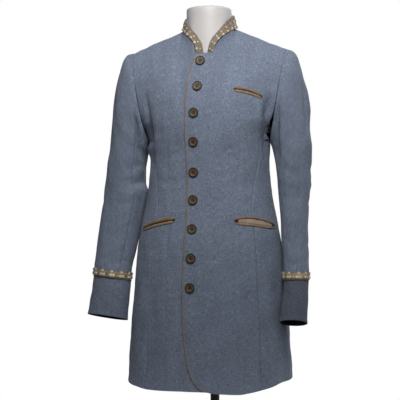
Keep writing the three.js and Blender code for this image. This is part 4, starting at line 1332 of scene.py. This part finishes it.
def make_cuff(name):
    around = mix(-89.98, 269.98, spread(270, 3.4))
    p = cuff_surface(name, around, spread(100, 3.0))
    n = away_from_arm(p, grid_normals(p))
    down = arcs(p, 0)
    lift = ripple(p, 31)
    for view, path, width, depth in CUFF_CREASES[name]:
        if view == "front":
            path = [(SIDES[name] * x, z) for x, z in path]
        lift = lift + crease(p, n, view, path, width, depth)
    lift = lift + dip(arcs(p, 1)) + 0.5 * smooth((down - down[[-1]] + 9) / 5)
    p = p + lift[..., None] * n
    obj = shell(f"cuff_{name}_cloth", p, n, CLOTH, (cuff_wools_painted_shade[name], lining), p.shape[1] // 2)
    cloth_piece(obj, p, [f"cuff_{name}"])


for arm in SIDES:
    make_cuff(arm)

# %% [markdown]
# ## Collar
# The stand collar is a band about 30 mm tall, cut away in front. It leans in to the neck and a
# suede binding finishes its free edge. The ribbon covers it from the seam to the binding.

# %% The collar's surface
# share of the way to the centre back, then the sewn edge and the free edge
COLLAR = [
    [0, 21.3, -85.5, 902.5, 6, -71, 901],
    [0.12, 26.6, -79, 921.3, 10, -70, 922],
    [0.24, 37, -68, 937.2, 21, -66.5, 942],
    [0.36, 49, -54, 949, 36, -57.5, 961],
    [0.48, 60, -32, 959.5, 51, -39, 981],
    [0.62, 66.5, -4, 965.5, 60, -8, 994],
    [0.76, 61, 28, 971, 54.5, 23, 1000],
    [0.88, 37, 49.5, 975, 32.5, 44, 1003],
    [1, 0, 57.5, 977, 0, 52, 1004],
]


def collar_surface(share, height):
    """The collar from the wearer's left end, share 0, right round to share 2."""
    side = np.where(share <= 1, 1.0, -1.0)
    at = curve(COLLAR, np.where(share <= 1, share, 2 - share))
    sewn, free = at[..., :3].copy(), at[..., 3:].copy()
    sewn[..., 2] += HIGH_LEFT * side * sewn[..., 0] / TIP[0]
    free[..., 2] += HIGH_LEFT * side * free[..., 0] / NECK_SIDE[0]
    sewn[..., 0] *= side
    free[..., 0] *= side
    p = mix(sewn[None], free[None], np.asarray(height, float)[:, None, None])
    p[..., 1] -= np.where(share <= 1, OVERLAP * (1 - smooth(share / 0.4)), 0)
    return p


def collar_normals(p):
    n = grid_normals(p)
    outward = p - np.array([0, NECK_AT, 0])
    return n * np.sign(np.sum(n[..., :2] * outward[..., :2]))


COLLAR_SHARES = 2 * spread(330, 2.6)
COLLAR_TALL = mix(0.04, 1.0, spread(34, 3.4))
collar = collar_surface(COLLAR_SHARES, COLLAR_TALL)
collar_n = collar_normals(collar)
centre_back = len(COLLAR_SHARES) // 2
collar_obj = shell("collar_cloth", collar, collar_n, CLOTH, (wool, lining), centre_back)
cloth_piece(collar_obj, collar, ["collar_band"])

# %% [markdown]
# ## Trim
# Ribbons are sheets laid over the cloth. A cord runs along both edges of each cuff's ribbon and
# along the lower edge of the collar's. Cords, piping and binding are soft rolls, made as tubes along
# the line they are sewn to.

# %% Rolls along a line


def roll(name, path, out, radius, material, sides=12, flat=1.0, bumps=0.0, seed=1, taper=0.0):
    """A tube along a path. out is each place's outward direction, and flat squashes it."""
    path, out = np.asarray(path, float), np.asarray(out, float)
    along = unit(np.gradient(path, axis=0))
    across = unit(np.cross(along, out))
    out = unit(np.cross(across, along))
    rng = np.random.default_rng(seed)
    swell = 1 + bumps * np.convolve(rng.normal(size=len(path) + 4), [0.2] * 5, "valid")
    angle = np.linspace(0, 2 * math.pi, sides, endpoint=False)
    ends = np.ones(len(path))
    ends[[0, -1]] = 0.45
    if taper:
        share = np.linspace(0, 1, len(path))
        ends = 0.25 + 0.75 * smooth(share / taper) * smooth((1 - share) / taper)
    size = (radius * swell * ends)[:, None, None]
    circle = across[:, None] * np.cos(angle)[:, None] + flat * out[:, None] * np.sin(angle)[:, None]
    rings = path[:, None] + size * circle
    obj = grid_mesh(name, rings, path[0], path[-1], material)
    alone(obj)
    bpy.ops.object.mode_set(mode="EDIT")
    bpy.ops.mesh.select_all(action="SELECT")
    bpy.ops.mesh.normals_make_consistent(inside=False)
    bpy.ops.object.mode_set(mode="OBJECT")
    by_angle(obj, 60)
    return obj


def joined(name, pieces):
    """Several objects made one piece."""
    alone(pieces[0])
    for piece in pieces:
        piece.select_set(True)
    bpy.ops.object.join()
    pieces[0].name = name
    pieces[0].data.name = name
    return pieces[0]


def finished(obj, nodes=()):
    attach(obj, ROOT)
    if nodes:
        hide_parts(*nodes)
    return obj


# %% Piping down the left front
PIPING_RADIUS, BINDING_RADIUS = 1.9, 3.2
edge_path, edge_n = left_front[:, 0], left_front_n[:, 0]
outward = unit(left_front[:, 0] - left_front[:, 3])
piping_path = edge_path + 0.9 * outward - 0.5 * edge_n
piping_path = piping_path[2:-2:2]
front_piping = roll("front_piping_roll", piping_path, edge_n[2:-2:2], PIPING_RADIUS, suede, bumps=0.05)
finished(front_piping, ["front_piping"])
print("front piping", round(float(arcs(piping_path[None], 1).max())), "mm long")

# %% Binding on the collar
free_edge, free_n = collar[-1], collar_n[-1]
binding_path = free_edge - 0.9 * free_n - 1.4 * unit(collar[-1] - collar[-2])
binding = roll("collar_binding_roll", binding_path, free_n, BINDING_RADIUS, binding_suede,
               sides=14, flat=0.72, bumps=0.16, seed=6)
finished(binding, ["collar_binding"])

# %% [markdown]
# ## Beads
# A glass bead is modelled from a sphere, cut to a few facets and pressed flat. Each copy is set on
# the ribbon with its flat side down. On a cuff they sit in groups of one above two, a group every
# 24.5 mm, with a copper sequin between the groups. The collar's groups are of two, 18 mm apart.

# %% A bead, a sequin and their copies


def model_bead(name, material):
    """A flattened, faceted bead of one unit, with a flat back."""
    deselect()
    bpy.ops.mesh.primitive_ico_sphere_add(subdivisions=2, radius=1.0, location=(0, 0, 0))
    bead = bpy.context.object
    bpy.ops.object.mode_set(mode="EDIT")
    bpy.ops.mesh.select_all(action="SELECT")
    bpy.ops.mesh.bisect(plane_co=(0, 0, -0.35), plane_no=(0, 0, 1), use_fill=True, clear_inner=True)
    bpy.ops.mesh.select_all(action="SELECT")
    bpy.ops.transform.resize(value=(1, 1, 0.62))
    bpy.ops.mesh.normals_make_consistent(inside=False)
    bpy.ops.object.mode_set(mode="OBJECT")
    return settle(bead, name, material)


def model_sequin():
    """A dished copper disc of one unit."""
    deselect()
    bpy.ops.mesh.primitive_cylinder_add(vertices=10, radius=1.0, depth=0.3, location=(0, 0, 0.15))
    disc = bpy.context.object
    select_faces(disc, lambda at, normal: normal.z > 0.9)
    bpy.ops.mesh.inset(thickness=0.35)
    bpy.ops.transform.translate(value=(0, 0, -0.12))
    bpy.ops.object.mode_set(mode="OBJECT")
    return settle(disc, "sequin_pattern", copper_bead)


bead_pattern = model_bead("bead_pattern", bead_glass)
pearl_pattern = model_bead("pearl_pattern", pearl_glass)
sequin_pattern = model_sequin()


def set_on(pattern, at, along, out, size):
    """A copy of a pattern at a place in the coat, with its own mesh."""
    copy = pattern.copy()
    copy.data = pattern.data.copy()
    bpy.context.scene.collection.objects.link(copy)
    along, out = Vector(along).normalized(), Vector(out).normalized()
    up = out.cross(along).normalized()
    along = up.cross(out)
    turn = Matrix((along, up, out)).transposed().to_4x4()
    scale = Matrix.Diagonal((*[s * MM for s in size], 1))
    place = Matrix.Translation(Vector((np.asarray(at) + COAT_AT) * MM))
    copy.data.transform(place @ turn @ scale)
    return copy


def sample(grid, along_mm, height):
    """A point and its direction along, on a ribbon's grid."""
    arc = arcs(grid, 1)
    row = height * (grid.shape[0] - 1)
    low = int(min(row, grid.shape[0] - 2))
    line = mix(grid[low], grid[low + 1], row - low)
    at = np.array([np.interp(along_mm, arc[low], line[:, k]) for k in range(3)])
    ahead = np.array([np.interp(along_mm + 1.5, arc[low], line[:, k]) for k in range(3)])
    return at, ahead - at


def bead_trim(name, grid, n, pitch, first, marks, bead_size):
    """Groups of beads and sequins along a ribbon, as one piece. marks are one group's places."""
    total = float(arcs(grid, 1)[0].max())
    rng = np.random.default_rng(len(name))
    copies = []
    flat_n = n.mean(axis=0)
    arc = arcs(grid, 1)[0]
    for start in np.arange(first, total - 3, pitch):
        for shift, height, grow, pattern in marks:
            place = start + shift + rng.uniform(-0.5, 0.5)
            if not 1.5 < place < total - 1.5:
                continue
            at, along = sample(grid, place, height)
            out = np.array([np.interp(place, arc, flat_n[:, k]) for k in range(3)])
            wide = bead_size * grow * rng.uniform(0.9, 1.1)
            size = (wide, wide, 0.72 * wide)
            copies.append(set_on(pattern, at + 0.2 * unit(out), along, out, size))
    beads = joined(name, copies)
    by_angle(beads, 25)
    finished(beads)
    print(name, len(copies), "beads and sequins")


# %% Ribbons on the cuffs
# place along in millimetres, share of the height from the top, size against the others and pattern
CUFF_MARKS = [
    (0, 0.28, 1.0, pearl_pattern),
    (-3.6, 0.66, 1.0, pearl_pattern),
    (3.6, 0.66, 1.0, pearl_pattern),
    (11.5, 0.55, 0.7, sequin_pattern),
]
RIBBON_LOW, RIBBON_HIGH = 0.9965, 0.9645  # shares of the sleeve's length
CUFF_BEAD, COLLAR_BEAD = 4.3, 3.1
COLLAR_PITCH = 18.0


def cuff_ribbon_grid(name, lift):
    around = mix(-89.98, 269.98, spread(262, 2.6))
    p = arm_surface(name, around, mix(RIBBON_HIGH, RIBBON_LOW, spread(18, 2.6)))
    n = away_from_arm(p, grid_normals(p))
    return p + lift * n, n


def edge_cord(name, grid, n, row, radius, seed):
    path = grid[row] + 0.2 * n[row]
    return roll(name, path[::2], n[row][::2], radius, cord_thread, sides=8, bumps=0.3, seed=seed)


for arm in SIDES:
    grid, n = cuff_ribbon_grid(arm, 1.4)
    ribbon = shell(f"cuff_ribbon_{arm}_band", grid, n, 1.2, (cuff_ribbon,), 0, 0.3)
    cloth_piece(ribbon, grid, [f"cuff_ribbon_{arm}"])
    cords = [edge_cord("cord", grid, n, 0, 0.6, 3), edge_cord("cord", grid, n, -1, 0.7, 4)]
    finished(joined(f"cuff_cords_{arm}", cords))
    bead_trim(f"cuff_beads_{arm}", grid, n, PITCH / MM, 4.0, CUFF_MARKS, CUFF_BEAD)
    around = mix(-89.0, 269.0, spread(262, 3.4))
    ring_path = cuff_surface(arm, around, [0.0, 0.012])
    ring_n = away_from_arm(ring_path, grid_normals(ring_path))
    piping = roll(f"cuff_piping_{arm}_roll", ring_path[1] + 0.7 * ring_n[1], ring_n[1], 1.3,
                  cuff_suede, bumps=0.08, seed=8)
    finished(piping, [f"cuff_piping_{arm}"])

# %% Ribbon on the collar
COLLAR_MARKS = [(3.6, 0.66, 0.85, bead_pattern), (-2.0, 0.24, 1.15, bead_pattern)]
collar_band_grid = collar_surface(2 * spread(330, 2.6), mix(0.06, 0.86, spread(27, 2.6)))
collar_band_n = collar_normals(collar_band_grid)
collar_band_grid = collar_band_grid + 1.7 * collar_band_n
ribbon = shell("collar_ribbon_band", collar_band_grid, collar_band_n, 1.4, (collar_ribbon,), 0, 0.3)
cloth_piece(ribbon, collar_band_grid, ["collar_ribbon"])
finished(edge_cord("collar_cord", collar_band_grid, collar_band_n, 0, 1.0, 5))
bead_trim("collar_beads", collar_band_grid, collar_band_n, COLLAR_PITCH, 5.0, COLLAR_MARKS, COLLAR_BEAD)

# %% [markdown]
# ## Pockets
# Each pocket is a slit between two rolled jets of suede. The wearer's left hip pocket hangs open and
# shows its lining.

# %% Places on the front


def on_front(x, z, lift=0.0):
    """Points and outward directions on the finished front, raised by lift."""
    x, z = np.atleast_1d(np.asarray(x, float)), np.atleast_1d(np.asarray(z, float))
    turn, level = place_at(x, z)
    p = body(turn, level)
    around = body(turn + 0.3, level) - body(turn - 0.3, level)
    upward = body(turn, level + 0.004) - body(turn, level - 0.004)
    n = unit(np.cross(around, upward))
    outer = x > edge_x(z)
    height = lift + np.where(outer, lap_lift(x, z), 0) + all_creases(p, n)
    return p + height[:, None] * n, n


POCKETS = [
    ("hip_pocket_right", -1, [(66, 502), (112, 494), (154, 480)], 1.2, 1.45),
    ("hip_pocket_left", 1, [(75, 500), (120, 499), (163, 487)], 12.0, 0.9),
    ("breast_pocket", 1, [(72, 811), (104, 807), (138, 794)], 1.2, 0.9),
]
JET_TALL = 5.8


def slit_line(line, side, power=0.7, count=41):
    """Places along a bowed slit, and how far open it is at each."""
    share = np.linspace(0, 1, count)
    start, middle, end = np.asarray(line, float)
    bowed = 2 * middle - (start + end) / 2
    weights = np.stack([(1 - share) ** 2, 2 * share * (1 - share), share**2], -1)
    places = weights @ np.stack([start, bowed, end])
    return side * places[:, 0], places[:, 1], np.sin(math.pi * share) ** power


def lens(name, line, side, tall, ends, lift, material):
    """A thin leaf over a slit, which is as tall as tall says at each place."""
    x, z, opened = slit_line(line, side, 0.5)
    inner = slice(*(np.array(ends) * len(x)).astype(int))
    x, z, tall = x[inner], z[inner], tall(opened)[inner]
    rows, outs = zip(*(on_front(x, z + h * tall / 2, lift) for h in np.linspace(-1, 1, 11)))
    leaf = np.array(rows)
    return shell(name, leaf, np.array(outs), 0.5, (material,), 0, 0.1), leaf


for name, side, line, gape, upper in POCKETS:
    x, z, opened = slit_line(line, side, 0.5)
    wide = max(gape, 2.4)
    jets = []
    # the upper jet takes the darker suede, a painted shade
    for way, material in ((1, upper_jet_painted_shade), (-1, jet_suede)):
        tall = JET_TALL * (1 if way < 0 else upper)
        path, n = on_front(x, z + way * (tall / 2 + wide * opened / 2), 0.9)
        jets.append(roll("jet", path, n, tall / 2, material, 14, 0.45, 0.06, taper=0.12))
    finished(joined(f"{name}_jets", jets), [f"{name}_upper_jet", f"{name}_lower_jet"])
    # a dark leaf under the jets is the slit's painted shadow
    slit_shadow_leaf, leaf = lens(f"{name}_slit_shadow", line, side, lambda o: wide * o + 3, (0, 1), 0.4, slit_shade)
    finished(slit_shadow_leaf)
    if gape > 3:
        bag, leaf = lens(f"{name}_bag", line, side, lambda o: gape * o - 1.5, (0.1, 0.93), 0.9,
                         pocket_cloth)
        cloth_piece(bag, leaf, [f"{name}_lining"])

# %% [markdown]
# ## Buttons
# Each is aged horn, turned with a raised dark rim, a paler ring and a dished centre with four sewing
# holes. One is modelled from a cylinder by insets, then copied nine times.

# %% One button
BUTTON_RADIUS = 11.5


def model_button():
    """A button in millimetres, with its back on z = 0."""
    deselect()
    bpy.ops.mesh.primitive_cylinder_add(
        vertices=48, radius=BUTTON_RADIUS, depth=3.0, location=(0, 0, 1.5)
    )
    button = settle(bpy.context.object, "button_pattern")
    select_faces(button, lambda at, normal: normal.z > 0.9)
    for inset, rise in ((0.8, 1.1), (1.4, 0.0), (0.9, -1.5), (2.2, 0.2), (0.7, -0.5), (1.6, 0.1)):
        bpy.ops.mesh.inset(thickness=inset)
        bpy.ops.transform.translate(value=(0, 0, rise))
    bpy.ops.object.mode_set(mode="OBJECT")
    round_edges(button, 0.35, 2)
    for material in (horn_rim, horn_ring_tone_and_highlight, horn_heart):
        button.data.materials.append(material)
    # the ring's paler horn is partly a painted highlight
    for face in button.data.polygons:
        away = math.hypot(face.center.x, face.center.y)
        top = face.center.z > 1.0
        face.material_index = 2 if top and away < 5.6 else 1 if top and away < 8.6 else 0
    holes = []
    for x, y in ((1.5, 1.5), (-1.5, 1.5), (-1.5, -1.5), (1.5, -1.5)):
        deselect()
        bpy.ops.mesh.primitive_cylinder_add(vertices=12, radius=0.75, depth=6, location=(x, y, 2.6))
        holes.append(settle(bpy.context.object, "hole"))
    cutter = joined("hole", holes)
    alone(button)
    cut = button.modifiers.new("holes", "BOOLEAN")
    cut.operation = "DIFFERENCE"
    cut.solver = "EXACT"
    cut.object = cutter
    bpy.ops.object.modifier_apply(modifier=cut.name)
    bpy.data.objects.remove(cutter)
    by_angle(button, 35)
    return button


button_pattern = model_button()
BUTTONS = [
    (-9, 879.5),
    (-13, 818.5),
    (-20, 755.5),
    (-21.5, 687.5),
    (-21.5, 615.5),
    (-22, 550),
    (-23.5, 481.5),
    (-25, 413),
    (-27, 344),
]
for count, (x, z) in enumerate(BUTTONS, 1):
    at, n = on_front(x, z, 0.3)
    tilt = math.radians(17 * count)
    along = (math.cos(tilt), 0, math.sin(tilt))
    button = set_on(button_pattern, at[0], along, n[0], (1, 1, 1))
    button.name = f"button_{count}_horn"
    button.data.name = button.name
    finished(button, [f"button_{count}"])
for pattern in (button_pattern, bead_pattern, pearl_pattern, sequin_pattern):
    bpy.data.objects.remove(pattern)
print(len(BUTTONS), "buttons")

# %% [markdown]
# ## Floor, light and camera
# The coat stands on a plain pale floor. A large soft light above and in front makes the shoulders
# bright and lets the skirt fall away. A paler sky behind the coat keeps the background white.

# %% Floor
deselect()
bpy.ops.mesh.primitive_circle_add(vertices=96, radius=0.30, fill_type="NGON", location=(0, 0, 0))
floor = bpy.context.object
floor.name = "floor"
floor_paint, tree, shader = new_material("pale floor", 0.9)
floor_grain = grain(tree, put(tree, "ShaderNodeTexCoord").outputs["Object"], 0.4)
tone = layered(tree, colour("#fafafa"), [(floor_grain, 0.3, 0.7, 1.0, colour("#ffffff"))])
tree.links.new(tone, shader.inputs["Base Color"])
shader.inputs["Emission Color"].default_value = (1, 1, 1, 1)
shader.inputs["Emission Strength"].default_value = 0.3
floor.data.materials.append(floor_paint)

# %% World
world = bpy.data.worlds.new("studio")
bpy.context.scene.world = world
world.use_nodes = True
sky = world.node_tree
direction = put(sky, "ShaderNodeTexCoord").outputs["Generated"]
parts = put(sky, "ShaderNodeSeparateXYZ", {0: direction}).outputs
LOW_SKY, HIGH_SKY = [[v, v * 1.02, v * 1.06, 1] for v in (0.03, 0.20)]
BACK_SKY = [1.0, 1.0, 1.0, 1]
room = layered(sky, LOW_SKY, [(parts[2], -0.35, 0.55, 1.0, HIGH_SKY)])
sky_tone = layered(sky, room, [(parts[1], 0.89, 0.93, 1.0, BACK_SKY)])
background = sky.nodes["Background"]
sky.links.new(sky_tone, background.inputs["Color"])
background.inputs["Strength"].default_value = 1.0

# %% Lights


def soft_light(name, at, toward, size, power, spread=math.pi):
    data = bpy.data.lights.new(name, "AREA")
    data.shape = "RECTANGLE"
    data.size, data.size_y = size
    data.energy = power
    data.spread = spread
    lamp = bpy.data.objects.new(name, data)
    lamp.location = at
    lamp.rotation_euler = (Vector(toward) - Vector(at)).to_track_quat("-Z", "Y").to_euler()
    bpy.context.scene.collection.objects.link(lamp)


soft_light("key", (0.2, -1.05, 1.55), (0, -0.1, 0.9), (0.8, 0.6), 4.75, 1.75)
soft_light("side", (1.5, 0.45, 0.4), (0.15, 0, 0.25), (0.4, 0.8), 3.0)
soft_light("back", (0.5, 1.5, 1.7), (0, 0, 0.6), (1.2, 1.2), 14)

# %% Camera
AZIMUTH, DISTANCE, HEIGHT, ASIDE = math.radians(9), 3.0, 0.55, 0.0245
ACROSS_MM, PIXELS, SENSOR = 2.45, 400, 36.0  # a pixel is 2.45 mm wide at the coat's axis
ahead = Vector((-math.sin(AZIMUTH), math.cos(AZIMUTH), 0))
right = Vector((math.cos(AZIMUTH), math.sin(AZIMUTH), 0))
axis_point = Vector((*(COAT_AT[:2] * MM), HEIGHT))
view_centre = axis_point - right * ASIDE
camera_data = bpy.data.cameras.new("camera")
camera_data.sensor_width = SENSOR
camera_data.lens = SENSOR * DISTANCE / (ACROSS_MM * PIXELS * MM)
camera = bpy.data.objects.new("camera", camera_data)
camera.location = view_centre - ahead * DISTANCE
camera.rotation_euler = ahead.to_track_quat("-Z", "Y").to_euler()
bpy.context.scene.collection.objects.link(camera)
bpy.context.scene.camera = camera
bpy.context.scene.view_settings.view_transform = "Standard"
print("lens", round(camera_data.lens, 1), "mm")

# %% Sizes
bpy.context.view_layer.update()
for row in cut_list:
    print("cut", *row)
